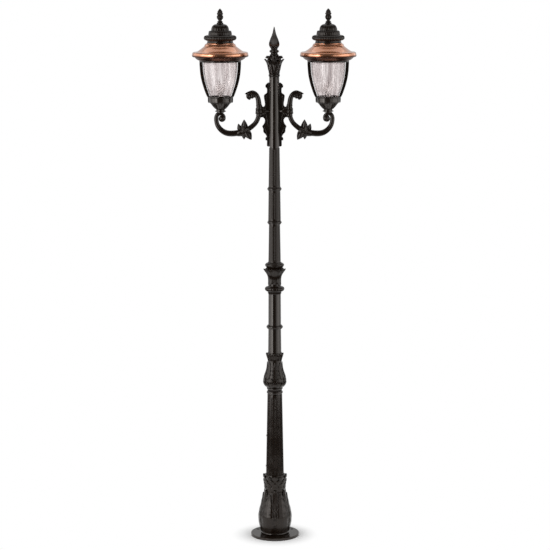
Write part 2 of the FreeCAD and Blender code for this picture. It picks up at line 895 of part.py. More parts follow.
arm_shares = [
    (0.291, 0.054), (0.393, -0.589), (0.613, -0.938), (0.767, -0.992), (0.975, -0.744),
    (1.07, -0.31), (1.036, -0.08),
]
scroll_shares = [(0.258, 0.155), (0.307, 0.713), (0.405, 0.868), (0.485, 0.729)]
leaf_shares = [
    (0.43, -0.76), (0.515, -0.667), (0.558, -0.357), (0.604, -0.682), (0.66, -0.558), (0.693, -0.837),
    (0.712, -0.992), (0.632, -1.085), (0.558, -1.24), (0.515, -1.1), (0.436, -1.264), (0.448, -0.992),
]
seat_shares = [
    (0.0, -2.5), (0.7, -2.19, "round"), (1.0, -1.48), (0.9, -1.0, "round"), (0.72, -0.66), (0.8, -0.4),
    (1.0, -0.3), (1.0, 0.0),
]


def arc_path(sketch, points, behind):
    """A smooth chain of arcs through points, which sets off straight away from a point behind it."""
    first, last = vector(behind), vector(points[0])
    heading = last - first
    heading.normalize()
    guide = sketch.addGeometry(Part.LineSegment(first, last), True)
    pin(sketch, guide, 1, behind)
    pin(sketch, guide, 2, points[0])
    previous = (guide, 2)
    for here, there in zip(points, points[1:]):
        start, end = vector(here), vector(there)
        chord = end - start
        turning = 2 * math.atan2(heading.x * chord.y - heading.y * chord.x, heading.dot(chord))
        radius = chord.Length / (2 * math.sin(turning / 2))
        centre = start + Vector(-heading.y, heading.x, 0) * radius
        spoke = Rotation(Vector(0, 0, 1), math.degrees(turning / 2)).multVec(start - centre)
        middle = centre + spoke
        onward = turning > 0
        edge = Part.Arc(start, middle, end) if onward else Part.Arc(end, middle, start)
        geometry = sketch.addGeometry(edge, False)
        near, far = (1, 2) if onward else (2, 1)
        sketch.addConstraint(Sketcher.Constraint("Tangent", previous[0], previous[1], geometry, near))
        pin(sketch, geometry, far, there)
        previous = (geometry, far)
        heading = Rotation(Vector(0, 0, 1), math.degrees(turning)).multVec(heading)
    return sketch


def pipe(body, points, behind, radius, name, kind="PartDesign::AdditivePipe"):
    """Carry a round section along a chain of arcs that starts upright."""
    path = arc_path(sketch_on(body, "XZ_Plane", name + "_path"), points, behind)
    ring = disc(sketch_on(body, "XY_Plane", name + "_ring", points[0][1]), (points[0][0], zero), radius)
    feature = body.newObject(kind, name)
    feature.Profile = ring
    feature.Spine = (path, ["Edge%d" % (index + 1) for index in range(len(points) - 1)])
    return feature


def make_arm(label, side):
    """One cast arm: a hub on the bracket, a swept branch, a leaf, an upper scroll and the lantern seat."""
    body = piece(label)

    def local(shares):
        return [(arm.reach * (share[0] - 1) * side, arm.drop * share[1]) for share in shares]

    seat = scaled(arm.seat_radius, arm.seat_radius, seat_shares)
    turn(body, seat + [(zero, zero)], "seat")
    branch = local(arm_shares)
    above = (branch[0][0], branch[0][1] + arm.hub_radius)
    pipe(body, branch, above, arm.tube_radius, "branch")
    scroll = local(scroll_shares)
    below = (scroll[0][0], scroll[0][1] - arm.hub_radius)
    pipe(body, scroll, below, arm.scroll_radius, "scroll")
    hub_place = (arm.hub_offset - arm.reach) * side
    hub_foot = arm.hub_rise - arm.hub_height / 2
    hub = disc(sketch_on(body, "XY_Plane", "hub_ring", hub_foot), (hub_place, zero), arm.hub_radius)
    raised(body, hub, arm.hub_height, "hub")
    root_place = (bracket_face - arm.reach) * side
    start = root_place if side > 0 else hub_place
    level_rod(body, arm.neck_radius, start, arm.hub_offset - bracket_face, "neck", arm.hub_rise)
    curl = disc(sketch_on(body, "XZ_Plane", "curl_ring"), scroll[-1], arm.curl_radius)
    raised(body, curl, arm.scroll_radius * 2, "curl", middle=True)
    leaf = draw(sketch_on(body, "XZ_Plane", "leaf_outline"), local(leaf_shares))
    raised(body, leaf, arm.leaf_half_thickness * 2, "leaf", middle=True)
    crest = disc(sketch_on(body, "XY_Plane", "crest_ring"), (zero, zero), arm.seat_radius + arm.tube_radius)
    bored(body, crest, fit.overrun, "crest")
    thread = disc(sketch_on(body, "XY_Plane", "thread_ring"), (zero, zero), nipple_bore)
    bored(body, thread, nipple.engage + fit.gap, "thread", back=True)
    entry = disc(sketch_on(body, "YZ_Plane", "entry_ring", root_place), (zero, arm.hub_rise), nipple_bore)
    bored(body, entry, nipple.engage + fit.gap, "entry", back=side < 0)
    return place(body, x=arm.reach * side, z=arm_level)


def make_arm_nipples():
    """A threaded tube from the mast into each arm, through which the wires pass."""
    body = piece("arm_nipples")
    wall = core.radius - core.wall
    inner = (wall * wall - nipple.nut * nipple.nut).root() - fit.seat - nipple.nut_height
    outer = bracket_face + nipple.engage
    for name, start in (("left", -outer), ("right", inner)):
        level_rod(body, nipple.radius, start, outer - inner, name + "_tube")
    for name, start in (("left", -(inner + nipple.nut_height)), ("right", inner)):
        level_rod(body, nipple.nut, start, nipple.nut_height, name + "_nut")
    side_bore(body, nipple.radius - nipple.wall, zero, outer, "wire_way")
    return place(body, z=hub_level)


def make_lantern_nipples():
    """A threaded tube and lock nut that hold each lantern on its arm."""
    body = piece("lantern_nipples")
    bottom = -(nipple.engage)
    floor = stem.height + cup.floor
    for name, radius, start, length in (
            ("tube", nipple.radius, bottom, floor + nipple.engage + nipple.nut_height),
            ("nut", nipple.nut, floor, nipple.nut_height)):
        sketch = sketch_on(body, "XY_Plane", name + "_rings", start)
        disc(sketch, (arm.reach, zero), radius)
        disc(sketch, (-(arm.reach), zero), radius)
        raised(body, sketch, length, name)
    way = sketch_on(body, "XY_Plane", "wire_rings", bottom)
    disc(way, (arm.reach, zero), nipple.radius - nipple.wall)
    disc(way, (-(arm.reach), zero), nipple.radius - nipple.wall)
    bored(body, way, floor + nipple.engage + nipple.nut_height, "wire_way")
    return place(body, z=arm_level)


stem_shares = [(0.7, 0.0), (0.72, 0.2), (1.0, 0.32), (1.0, 0.55), (0.78, 0.7), (0.8, 1.0)]
cup_shares = [
    (0.405, 0.0), (0.45, 0.12), (0.676, 0.41), (0.93, 0.6), (1.0, 0.68), (1.0, 0.8), (0.93, 0.86), (0.95, 1.0),
]
glass_shares = [(0.6, 0.0), (0.7, 0.115), (0.8, 0.3), (0.9, 0.51), (0.975, 0.78), (1.0, 1.0)]
rib_shares = [
    (0.597, 0.0), (0.677, 0.07), (0.765, 0.2), (0.845, 0.333), (0.908, 0.465), (0.955, 0.6), (0.98, 0.73),
    (0.995, 0.86), (1.0, 0.96),
]
canopy_shares = [
    (0.76, 0.0), (0.854, 0.11), (0.94, 0.2), (0.985, 0.25), (1.0, 0.3), (0.95, 0.37), (0.825, 0.49),
    (0.716, 0.61), (0.59, 0.785), (0.485, 1.0),
]
crown_shares = [
    (0.788, 0.0), (0.77, 0.05), (0.77, 0.12), (0.86, 0.15), (1.0, 0.264, "round"), (0.86, 0.385), (0.717, 0.41),
    (0.68, 0.59), (0.545, 0.64), (0.485, 0.824), (0.333, 0.912), (0.212, 0.925), (0.212, 0.985), (0.16, 1.0),
]
finial_shares = [
    (0.7, 0.0), (0.556, 0.06), (0.556, 0.16), (0.85, 0.24), (1.0, 0.39, "round"), (0.8, 0.53), (0.85, 0.6),
    (0.7, 0.8, "round"), (0.3, 0.94),
]


def make_stem(label, x):
    body = piece(label)
    outer = scaled(stem.radius, stem.height, stem_shares)
    turn(body, [(nipple_bore, zero)] + outer + [(nipple_bore, stem.height)], "stem")
    return place(body, x=x, z=stem_level)


def make_cup(label, x):
    """The cast bowl under the glass, with a ledge at its mouth for the glass to stand on."""
    body = piece(label)
    outer = scaled(cup.radius, cup.height, cup_shares)
    mouth = outer[-1][0] - cup.ledge
    bowl = inside(outer[2:], cup.wall)[1:-1]
    turn(body, [(nipple_bore, zero)] + outer + [
        (mouth, cup.height),
        (mouth, cup.height - cup.ledge_height),
    ] + bowl[1:] + [
        (outer[1][0], cup.floor),
        (nipple_bore, cup.floor),
    ], "bowl")
    return place(body, x=x, z=cup_level)


def make_cage(label, x):
    """A foot ring and a rebated top ring joined by two ribs, one on each side of the glass."""
    body = piece(label)
    foot_inner = cage.foot_radius - cage.foot_width
    turn(body, [
        (foot_inner, zero),
        (cage.foot_radius, zero),
        (cage.foot_radius, cage.foot_ring),
        (foot_inner, cage.foot_ring),
    ], "foot_ring")
    top_inner = cage.top_radius - cage.top_width
    under = cage.height - cage.top_ring
    step = cage.top_radius - cage.rebate_width
    turn(body, [
        (top_inner, under),
        (cage.top_radius, under),
        (cage.top_radius, cage.height - cage.rebate),
        (step, cage.height - cage.rebate),
        (step, cage.height),
        (top_inner, cage.height),
    ], "top_ring")
    outer = scaled(cage.top_radius, cage.height, rib_shares)
    face = scaled(glass.radius, glass.height, glass_shares)
    inner = [(radius + cage.rib_gap, height + fit.gap) for radius, height in face[1:-1]]
    upper = [(top_inner + fit.gap, under + fit.gap), (top_inner + fit.gap, outer[-1][1])]
    lower = [(foot_inner + fit.gap, zero), (foot_inner + fit.gap, cage.foot_ring)]
    rib = draw(sketch_on(body, "XZ_Plane", "rib_outline"), outer + upper[::-1] + inner[::-1] + lower[::-1])
    around(body, raised(body, rib, cage.rib_half_width * 2, "rib", middle=True), 2, "ribs")
    hole = disc(sketch_on(body, "XY_Plane", "screw_ring", cage.height),
                (zero, cage.top_radius - bridge.screw_inset), bridge.screw_radius + fit.seat)
    around(body, bored(body, hole, bridge.screw_length, "screw", back=True), 2, "screws")
    return place(body, x=x, z=cage_level)


def make_glass(label, x):
    body = piece(label)
    outer = scaled(glass.radius, glass.height, glass_shares)
    turn(body, outer + inside(outer, glass.wall), "bowl")
    return place(body, x=x, z=cage_level + fit.gap)


def make_gasket(label, x):
    body = piece(label)
    inner = glass.radius - glass.wall - gasket.lap
    outer = glass.radius + gasket.lap
    turn(body, [(inner, zero), (outer, zero), (outer, gasket.height), (inner, gasket.height)], "seal")
    return place(body, x=x, z=cage_level + glass.height + fit.gap * 2)


def make_bridge(label, x):
    """The flat bar across the top ring that carries the roof's stud."""
    body = piece(label)
    end = cage.top_radius - bridge.end_inset
    half = bridge.half_width
    outline = [(-half, -end), (half, -end), (half, end), (-half, end)]
    raised(body, draw(sketch_on(body, "XY_Plane", "bar_outline"), outline), bridge.thickness, "bar")
    middle = disc(sketch_on(body, "XY_Plane", "stud_ring"), (zero, zero), stud.radius + fit.seat)
    bored(body, middle, bridge.thickness + fit.overrun, "stud_hole")
    hole = disc(sketch_on(body, "XY_Plane", "screw_ring"),
                (zero, cage.top_radius - bridge.screw_inset), bridge.screw_radius + fit.seat)
    around(body, bored(body, hole, bridge.thickness + fit.overrun, "screw"), 2, "screws")
    return place(body, x=x, z=cage_top_level)


def make_bridge_screws():
    """The four screws that hold the two bridges to their cages."""
    body = piece("bridge_screws")
    reach = cage.top_radius - bridge.screw_inset
    shank = bridge.screw_length
    for name, radius, start, length in (
            ("shank", bridge.screw_radius, bridge.thickness - shank, shank),
            ("head", bridge.screw_head, bridge.thickness, bridge.screw_head_height)):
        sketch = sketch_on(body, "XY_Plane", name + "_rings", start)
        for x in (-(arm.reach), arm.reach):
            for y in (-reach, reach):
                disc(sketch, (x, y), radius)
        raised(body, sketch, length, name)
    return place(body, z=cage_top_level)


def make_stud(label, x):
    """The bolt that stands up from the bridge to the finial."""
    body = piece(label)
    top = finial_level - cage_top_level + finial.thread_depth - fit.gap * 2
    turn(body, [
        (zero, -(stud.nut_height)),
        (stud.nut, -(stud.nut_height)),
        (stud.nut, zero),
        (stud.radius, zero),
        (stud.radius, top),
        (zero, top),
    ], "stud")
    return place(body, x=x, z=cage_top_level)


holder_level = cup_level + cup.floor
lamp_level = holder_level + holder.height - lamp.cap_height


def make_holder(label, x):
    body = piece(label)
    bore = holder.radius - holder.wall
    socket = lamp.cap_radius + fit.gap
    seat = holder.height - lamp.cap_height - fit.gap
    turn(body, [
        (bore, zero),
        (holder.radius, zero),
        (holder.radius, holder.height),
        (socket, holder.height),
        (socket, seat),
        (zero, seat),
        (zero, holder.floor),
        (bore, holder.floor),
    ], "socket")
    return place(body, x=x, z=holder_level)


lamp_shares = [
    (0.0, 0.0), (0.2, 0.0), (0.433, 0.03), (0.433, 0.22), (0.5, 0.3), (0.85, 0.5), (1.0, 0.75, "round"),
    (0.55, 0.965), (0.0, 1.0),
]


def make_lamp(label, x):
    body = piece(label)
    turn(body, scaled(lamp.radius, lamp.height, lamp_shares), "lamp")
    return place(body, x=x, z=lamp_level)


def make_canopy(label, x):
    """The spun copper roof: a closed top with a stud hole, a flared brim and a lip on the cage's rebate."""
    body = piece(label)
    outer = scaled(canopy.radius, canopy.height, canopy_shares)
    hole = stud.radius + fit.gap
    lip = cage.top_radius - cage.rebate_width + fit.gap
    skin = inside(outer, canopy.wall)
    top = canopy.height - canopy.wall
    turn(body, [(lip, zero)] + outer + [
        (hole, canopy.height),
        (hole, top),
        (skin[0][0], top),
    ] + skin[1:-1] + [(lip, canopy.wall)], "roof")
    return place(body, x=x, z=canopy_level)


def make_crown(label, x):
    """The cast cap over the roof: a neck, a knurled roll, a step and a lobed dome, hollow below."""
    body = piece(label)
    outer = scaled(crown.radius, crown.height, crown_shares)
    hole = stud.radius + fit.gap
    lower = outer[0][0] - crown.wall
    upper = outer[9][0] - crown.wall
    step = outer[5][1]
    ceiling = outer[9][1] - crown.wall
    turn(body, outer + [
        (hole, crown.height),
        (hole, ceiling),
        (upper, ceiling),
        (upper, step),
        (lower, step - crown.wall),
        (lower, zero),
    ], "cap")
    return place(body, x=x, z=crown_level)


def make_finial(label, x):
    """The turned nut with a cone-shaped knob that clamps the roof."""
    body = piece(label)
    outer = scaled(finial.radius, finial.height, finial_shares)
    bore = stud.radius + fit.gap
    turn(body, [(bore, zero)] + outer + [
        (zero, finial.height),
        (zero, finial.thread_depth),
        (bore, finial.thread_depth),
    ], "knob")
    return place(body, x=x, z=finial_level)


def make_column():
    pieces = [make_flange(), make_plinth(), make_base_screws(), make_shaft(), make_door(), make_door_bar()]
    pieces += [
        make_door_screw("door_screw_lower", lower_screw_height),
        make_door_screw("door_screw_upper", upper_screw_height),
    ]
    pieces += make_gear() + make_core()
    pieces += [
        make_ring("shaft_collar", collar, collar_level),
        make_bulb(),
        make_sleeve("plain_section_lower", plain_lower, plain_lower_level, False),
        make_ring("ring_lower", ring_lower, ring_lower_level),
        make_sleeve("plain_section_upper", plain_upper, plain_upper_level, False),
        make_vase(),
        make_sleeve("fluted_section_lower", fluted_lower, fluted_lower_level, True),
        make_ring("ring_middle", ring_upper, ring_middle_level),
        make_sleeve("fluted_section_middle", fluted_middle, fluted_middle_level, True),
        make_ring("ring_top", ring_upper, ring_top_level),
        make_sleeve("fluted_section_upper", fluted_upper, fluted_upper_level, True),
        make_mast(),
        make_capital(),
        make_spear(),
        make_bracket_bolts(),
        make_arm_nipples(),
        make_lantern_nipples(),
        make_bridge_screws(),
    ]
    return pieces


def make_side(name, side):
    """The bracket, the arm and the lantern of one side."""
    x = arm.reach * side
    pieces = [make_bracket(name + "_bracket", side), make_arm(name + "_arm", side)]
    for label, make in (
            ("stem", make_stem),
            ("cup", make_cup),
            ("cage", make_cage),
            ("glass", make_glass),
            ("gasket", make_gasket),
            ("bridge", make_bridge),
            ("stud", make_stud),
            ("lamp_holder", make_holder),
            ("lamp", make_lamp),
            ("canopy", make_canopy),
            ("crown", make_crown),
            ("finial", make_finial)):
        pieces.append(make("%s_%s" % (name, label), x))
    return pieces


def check(pieces):
    """Stop with a list if any object failed or any piece has no sound shape."""
    faults = []
    for item in document.Objects:
        if "Invalid" in item.State or "Error" in item.State:
            faults.append("%s: %s" % (item.Label, ", ".join(item.State)))
    for item in pieces:
        shape = item.Shape
        if shape.isNull() or not shape.isValid() or not shape.Solids:
            faults.append("%s has no sound shape" % item.Label)
    if faults:
        raise RuntimeError("; ".join(faults))


def export(pieces):
    os.makedirs("parts", exist_ok=True)
    for item in pieces:
        item.Shape.exportStep("parts/%s.step" % item.Label)
        box = item.Shape.BoundBox
        print("%-24s %d solids, %9.0f mm3, z %7.1f to %7.1f" % (
            item.Label, len(item.Shape.Solids), item.Shape.Volume, box.ZMin, box.ZMax))


pieces = make_column() + make_side("left", -1) + make_side("right", 1)
document.recompute()
check(pieces)
export(pieces)
print("%d pieces" % len(pieces))
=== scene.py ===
import bpy
import json
import math
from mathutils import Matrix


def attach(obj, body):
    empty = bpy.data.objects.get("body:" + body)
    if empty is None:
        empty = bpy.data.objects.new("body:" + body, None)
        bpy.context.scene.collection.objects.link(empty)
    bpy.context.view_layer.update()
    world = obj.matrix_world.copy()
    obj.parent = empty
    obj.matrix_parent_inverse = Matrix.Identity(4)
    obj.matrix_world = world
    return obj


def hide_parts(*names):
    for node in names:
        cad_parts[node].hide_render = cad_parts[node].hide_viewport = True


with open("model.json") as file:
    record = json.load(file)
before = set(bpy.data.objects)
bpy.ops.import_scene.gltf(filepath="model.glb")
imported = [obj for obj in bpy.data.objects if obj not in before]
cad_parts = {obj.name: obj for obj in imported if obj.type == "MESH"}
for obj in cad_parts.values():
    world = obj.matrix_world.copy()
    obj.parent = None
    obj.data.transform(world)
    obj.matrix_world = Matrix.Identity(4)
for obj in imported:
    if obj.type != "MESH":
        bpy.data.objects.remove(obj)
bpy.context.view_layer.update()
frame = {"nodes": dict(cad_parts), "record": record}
print("frame loaded:", len(frame["nodes"]), "nodes")

# The column stands on the origin, the lanterns hang at -X and +X, and the photographed face looks towards -Y.
# Lengths in the finishes and the studio are metres. The pieces' own dictionaries hold millimetres.


# Shader maths: a wire is a node's output, and adds a Math node for each sign that it meets.
class Wire:
    def __init__(self, graph, socket):
        self.graph = graph
        self.socket = socket

    def maths(self, operation, first, second):
        return self.graph.node("ShaderNodeMath", {"operation": operation}, {0: first, 1: second})

    def __add__(self, other):
        return self.maths("ADD", self, other)

    def __radd__(self, other):
        return self.maths("ADD", other, self)

    def __sub__(self, other):
        return self.maths("SUBTRACT", self, other)

    def __rsub__(self, other):
        return self.maths("SUBTRACT", other, self)

    def __mul__(self, other):
        return self.maths("MULTIPLY", self, other)

    def __rmul__(self, other):
        return self.maths("MULTIPLY", other, self)


# a node tree, with short calls for the nodes that several finishes use
class Graph:
    def __init__(self, tree):
        self.tree = tree

    # any node: its settings first, then the values or links of its sockets
    def node(self, kind, settings=None, inputs=None, output=0):
        made = self.tree.nodes.new(kind)
        for key, value in (settings or {}).items():
            setattr(made, key, value)
        for key, value in (inputs or {}).items():
            self.plug(made.inputs[key], value)
        return Wire(self, made.outputs[output])

    def plug(self, socket, value):
        if isinstance(value, Wire):
            self.tree.links.new(value.socket, socket)
        else:
            socket.default_value = value

    def place(self):
        return self.node("ShaderNodeTexCoord", output="Object")

    def height(self):
        return self.node("ShaderNodeSeparateXYZ", {}, {0: self.place()}, output=2)

    def noise(self, scale, detail, roughness, place=None):
        return self.node("ShaderNodeTexNoise", {}, {
            "Vector": place or self.place(), "Scale": scale, "Detail": detail, "Roughness": roughness})

    def mix(self, share, first, second):
        return self.node("ShaderNodeMix", {"data_type": "RGBA"}, {0: share, 6: first, 7: second}, output=2)

    def smooth(self, value, low, high):
        return self.node("ShaderNodeMapRange", {"interpolation_type": "SMOOTHSTEP"}, {
            "Value": value, "From Min": low, "From Max": high})

    def bump(self, height, strength, distance):
        return self.node("ShaderNodeBump", {}, {
            "Height": height, "Strength": strength, "Distance": distance})

    # 1 on the kinds of ray that are named, 0 on all others
    def rays(self, *kinds):
        total = self.node("ShaderNodeLightPath", output=kinds[0])
        for kind in kinds[1:]:
            total = total + self.node("ShaderNodeLightPath", output=kind)
        return total


class Finish(Graph):
    def __init__(self, name):
        self.material = bpy.data.materials.new(name)
        self.material.use_nodes = True
        super().__init__(self.material.node_tree)
        self.shader = self.tree.nodes["Principled BSDF"]

    def surface(self, values):
        for key, value in values.items():
            self.plug(self.shader.inputs[key], value)
        return self.material


# Finishes. A noise is (waves per metre, detail, roughness). The matt values add to a surface's roughness.
paintLook = {
    "deep": (0.0085, 0.0044, 0.0022, 1),  # brown-black powder coat
    "worn": (0.013, 0.0085, 0.0058, 1),  # a little dust and rub
    "warmth": (1.0, 0.94, 0.89, 1),  # tint of the shine
    "blotches": (7.0, 4.0, 0.6),
    "dust": (0.42, 0.68),  # where the blotches turn dusty
    "dustMatt": 0.08,
    "grain": (3.0, 0.55),  # detail and roughness of the peel
    "grainMatt": 0.04,
    "peel": 0.03,
    "glossy": {"waves": 240.0, "gloss": 0.12, "shine": 0.7, "depth": 0.0002},
    "cast": {"waves": 420.0, "gloss": 0.18, "shine": 0.42, "depth": 0.0004},
}


def paintFinish(name, coat):
    look = Finish(name)
    dust = look.smooth(look.noise(*paintLook["blotches"]), *paintLook["dust"])
    grain = look.noise(coat["waves"], *paintLook["grain"])
    return look.surface({
        "Base Color": look.mix(dust, paintLook["deep"], paintLook["worn"]),
        "Roughness": coat["gloss"] + paintLook["dustMatt"] * dust + paintLook["grainMatt"] * grain,
        "Specular IOR Level": coat["shine"],
        "Specular Tint": paintLook["warmth"],
        "Normal": look.bump(grain, paintLook["peel"], coat["depth"]),
    })


copperLook = {
    "bright": (0.82, 0.335, 0.165, 1),
    "deep": (0.68, 0.26, 0.12, 1),
    "shade": (0.11, 0.045, 0.028, 1),  # painted shade: dark brown under the brim, where shade falls
    "brim": (2.991, 3.0),  # heights between which the painted shade ends
    "clouds": (9.0, 3.0, 0.6),
    "tarnish": (0.4, 0.75),  # where the clouds turn to tarnish
    "tarnishShare": 0.6,
    "tarnishMatt": 0.07,
    "gloss": 0.22,
    "lacquer": 1.0,
    "lacquerBend": 1.75,  # the lacquer's index of refraction
    "lacquerGloss": 0.08,
    "spinLines": (420.0, 2.0, 0.6),  # fine rings left by spinning
    "spinMatt": 0.05,
    "spinBump": 0.05,
    "spinDepth": 0.0001,
}


def copperFinish():
    look = Finish("spunCopper")
    height = look.height()
    rings = look.noise(*copperLook["spinLines"], look.node("ShaderNodeCombineXYZ", {}, {"Z": height}))
    tarnish = look.smooth(look.noise(*copperLook["clouds"]), *copperLook["tarnish"])
    spun = look.mix(tarnish * copperLook["tarnishShare"], copperLook["bright"], copperLook["deep"])
    # painted shade: below these heights the copper turns dark brown and loses its lacquer, standing in for
    # the shade under the brim
    outsidePaintedShade = look.smooth(height, *copperLook["brim"])
    return look.surface({
        "Base Color": look.mix(outsidePaintedShade, copperLook["shade"], spun),
        "Metallic": 1.0,
        "Roughness": (copperLook["gloss"] + copperLook["tarnishMatt"] * tarnish
                      + copperLook["spinMatt"] * rings),
        "Coat Weight": copperLook["lacquer"] * outsidePaintedShade,
        "Coat Roughness": copperLook["lacquerGloss"],
        "Coat IOR": copperLook["lacquerBend"],
        "Normal": look.bump(rings, copperLook["spinBump"], copperLook["spinDepth"]),
    })


# plain metals and plastics, darker and rougher where their grain is
grainLook = {
    "metal": {"noise": (3.0, 0.6), "shade": 0.7, "metallic": 0.9, "matt": 0.2, "bump": 0.2},
    "plastic": {"noise": (2.0, 0.5), "shade": 0.85, "metallic": 0.0, "matt": 0.08, "bump": 0.15},
    "depth": 0.0002,
}


def grainFinish(name, kind, colour, gloss, waves=700.0):
    look = Finish(name)
    kindLook = grainLook[kind]
    grain = look.noise(waves, *kindLook["noise"])
    shaded = tuple(kindLook["shade"] * part for part in colour)
    return look.surface({
        "Base Color": look.mix(grain, colour + (1,), shaded + (1,)),
        "Metallic": kindLook["metallic"],
        "Roughness": gloss + kindLook["matt"] * grain,
        "Normal": look.bump(grain, kindLook["bump"], grainLook["depth"]),
    })


acrylicLook = {
    "tint": (0.975, 0.94, 0.935, 1),
    "root": (0.4, 0.35, 0.35, 1),  # painted shade: darker lines at the roots of the ribs, where the creases between them show dark
    "streaked": (0.7, 0.655, 0.65, 1),  # the darker tint of the streaks between them
    "stretch": (45.0, 45.0, 1.5),  # slow changes from rib to rib, drawn out upwards
    "streaks": (1.0, 3.0, 0.6),
    "streakEdge": (0.36, 0.62),  # where a change turns into a streak
    "rootEdge": (0.25, 0.85),  # where a root's mark turns into its painted shade line
    "faintest": 0.4,  # share of a line that stays between the streaks
    "clouds": (22.0, 3.0, 0.6),
    "cloudMatt": 0.04,
    "gloss": 0.02,
    "bend": 1.02,  # index of refraction: thin ribs bend the view only a little
    "coatBend": 1.5,
    "coatGloss": 0.06,
}


def acrylicFinish():
    look = Finish("ribbedAcrylic")
    stretched = look.node("ShaderNodeVectorMath", {"operation": "MULTIPLY"}, {
        0: look.place(), 1: acrylicLook["stretch"]})
    streak = look.smooth(look.noise(*acrylicLook["streaks"], stretched), *acrylicLook["streakEdge"])
    root = look.node("ShaderNodeAttribute", {"attribute_name": "ribRoot"}, output="Fac")
    faintest = acrylicLook["faintest"]
    # painted shade: a dark line along each rib's root, fuller where the streaks are
    line = look.smooth(root, *acrylicLook["rootEdge"]) * (faintest + (1 - faintest) * streak)
    between = look.mix(streak, acrylicLook["tint"], acrylicLook["streaked"])
    return look.surface({
        "Base Color": look.mix(line, between, acrylicLook["root"]),
        "Roughness": acrylicLook["gloss"] + acrylicLook["cloudMatt"] * look.noise(*acrylicLook["clouds"]),
        "Transmission Weight": 1.0,
        "IOR": acrylicLook["bend"],
        "Coat Weight": 1.0,
        "Coat IOR": acrylicLook["coatBend"],
        "Coat Roughness": acrylicLook["coatGloss"],
    })


lampLook = {
    "bright": (0.95, 0.94, 0.93, 1),
    "dim": (0.86, 0.84, 0.83, 1),
    "frost": (60.0, 3.0, 0.6),
    "frostMatt": 0.1,
    "gloss": 0.2,
    "clearing": (2.78, 2.83),  # heights between which the frost thins out
    "dense": 0.75,
    "clear": 0.15,
}


# a frosted lamp: white, and so thin in its upper part that the back of the lantern shows through
def lampFinish():
    look = Finish("frostedLamp")
    frost = look.noise(*lampLook["frost"])
    thin = look.smooth(look.height(), *lampLook["clearing"])
    return look.surface({
        "Base Color": look.mix(frost, lampLook["bright"], lampLook["dim"]),
        "Roughness": lampLook["gloss"] + lampLook["frostMatt"] * frost,
        "Alpha": lampLook["dense"] - (lampLook["dense"] - lampLook["clear"]) * thin,
    })


finishes = {
    "darkPaint": paintFinish("glossPaint", paintLook["glossy"]),
    "castPaint": paintFinish("castPaint", paintLook["cast"]),
    "copper": copperFinish(),
    "glass": acrylicFinish(),
    "zinc": grainFinish("galvanisedSteel", "metal", (0.55, 0.56, 0.57), 0.4, 160.0),
    "steel": grainFinish("stainlessSteel", "metal", (0.6, 0.6, 0.6), 0.25, 900.0),
    "seal": grainFinish("blackSeal", "plastic", (0.02, 0.02, 0.02), 0.6),
    "terminal": grainFinish("terminalNylon", "plastic", (0.7, 0.69, 0.64), 0.45),
    "socket": grainFinish("lampSocket", "plastic", (0.02, 0.02, 0.018), 0.3),
    "lamp": lampFinish(),
}
# the record's slots are called as the finishes are, apart from these two
slotFinish = {"dark_paint": "darkPaint", "ribbed_glass": "glass"}
roughCast = ("fluted_section_lower", "fluted_section_middle", "fluted_section_upper")
for part in frame["record"]["subparts"]:
    node = frame["nodes"][part["node"]]
    slot = part["material_slot"]
    finish = "castPaint" if part["node"] in roughCast else slotFinish.get(slot, slot)
    node.data.materials.clear()
    node.data.materials.append(finishes[finish])
print("finishes made:", len(finishes))

# Camera.
cameraLook = {
    "place": (0.0058, -12.2, 3.65),
    "down": 9.315,  # degrees below the horizon
    "roll": 0.0955,  # degrees
    "lens": 131.7,
}
bpy.ops.object.camera_add(
    location=cameraLook["place"],
    rotation=(math.radians(90 - cameraLook["down"]), math.radians(cameraLook["roll"]), 0))
camera = bpy.context.object
camera.name = "frontCamera"
camera.data.lens = cameraLook["lens"]
bpy.context.scene.camera = camera

# Studio: three softboxes on each side, a large one above, and a dim room with a white backdrop.
studioLook = {
    "boxes": {  # degrees from the front, width, power
        "leftKey": (-44, 1.7, 106),
        "leftSoftbox": (-69, 2.7, 98),
        "leftScreen": (-108, 4.4, 72),
        "rightFill": (36, 2.4, 33),
        "rightSoftbox": (72, 4.2, 118),
        "rightScreen": (117, 4.2, 48),
    },
    "distance": 5.0,
    "boxHeight": 5.5,
    "boxMiddle": 2.68,
    "topPlace": (0, 2.5, 9.0),
    "topSize": 9.0,
    "topPower": 190,
    "roomGrey": 0.075,
    "backdrop": 0.55,  # how bright metal shows the backdrop
    "backdropFrom": 0.6,  # how far back a reflection has to look to meet it
    "backdropRise": 6.0,
}


def softbox(name, place, rotation, power, width, height):
    bpy.ops.object.light_add(type="AREA", location=place, rotation=rotation)
    lamp = bpy.context.object
    lamp.name = name
    lamp.data.shape = "RECTANGLE"
    lamp.data.size = width
    lamp.data.size_y = height
    lamp.data.energy = power
    lamp.visible_camera = False


for name, (degrees, width, power) in studioLook["boxes"].items():
    angle = math.radians(degrees)
    aside = studioLook["distance"] * math.sin(angle)
    before = -studioLook["distance"] * math.cos(angle)
    softbox(name, (aside, before, studioLook["boxMiddle"]), (math.radians(90), 0, angle), power,
            width, studioLook["boxHeight"])
softbox("topSoftbox", studioLook["topPlace"], (0, 0, 0), studioLook["topPower"],
        studioLook["topSize"], studioLook["topSize"])

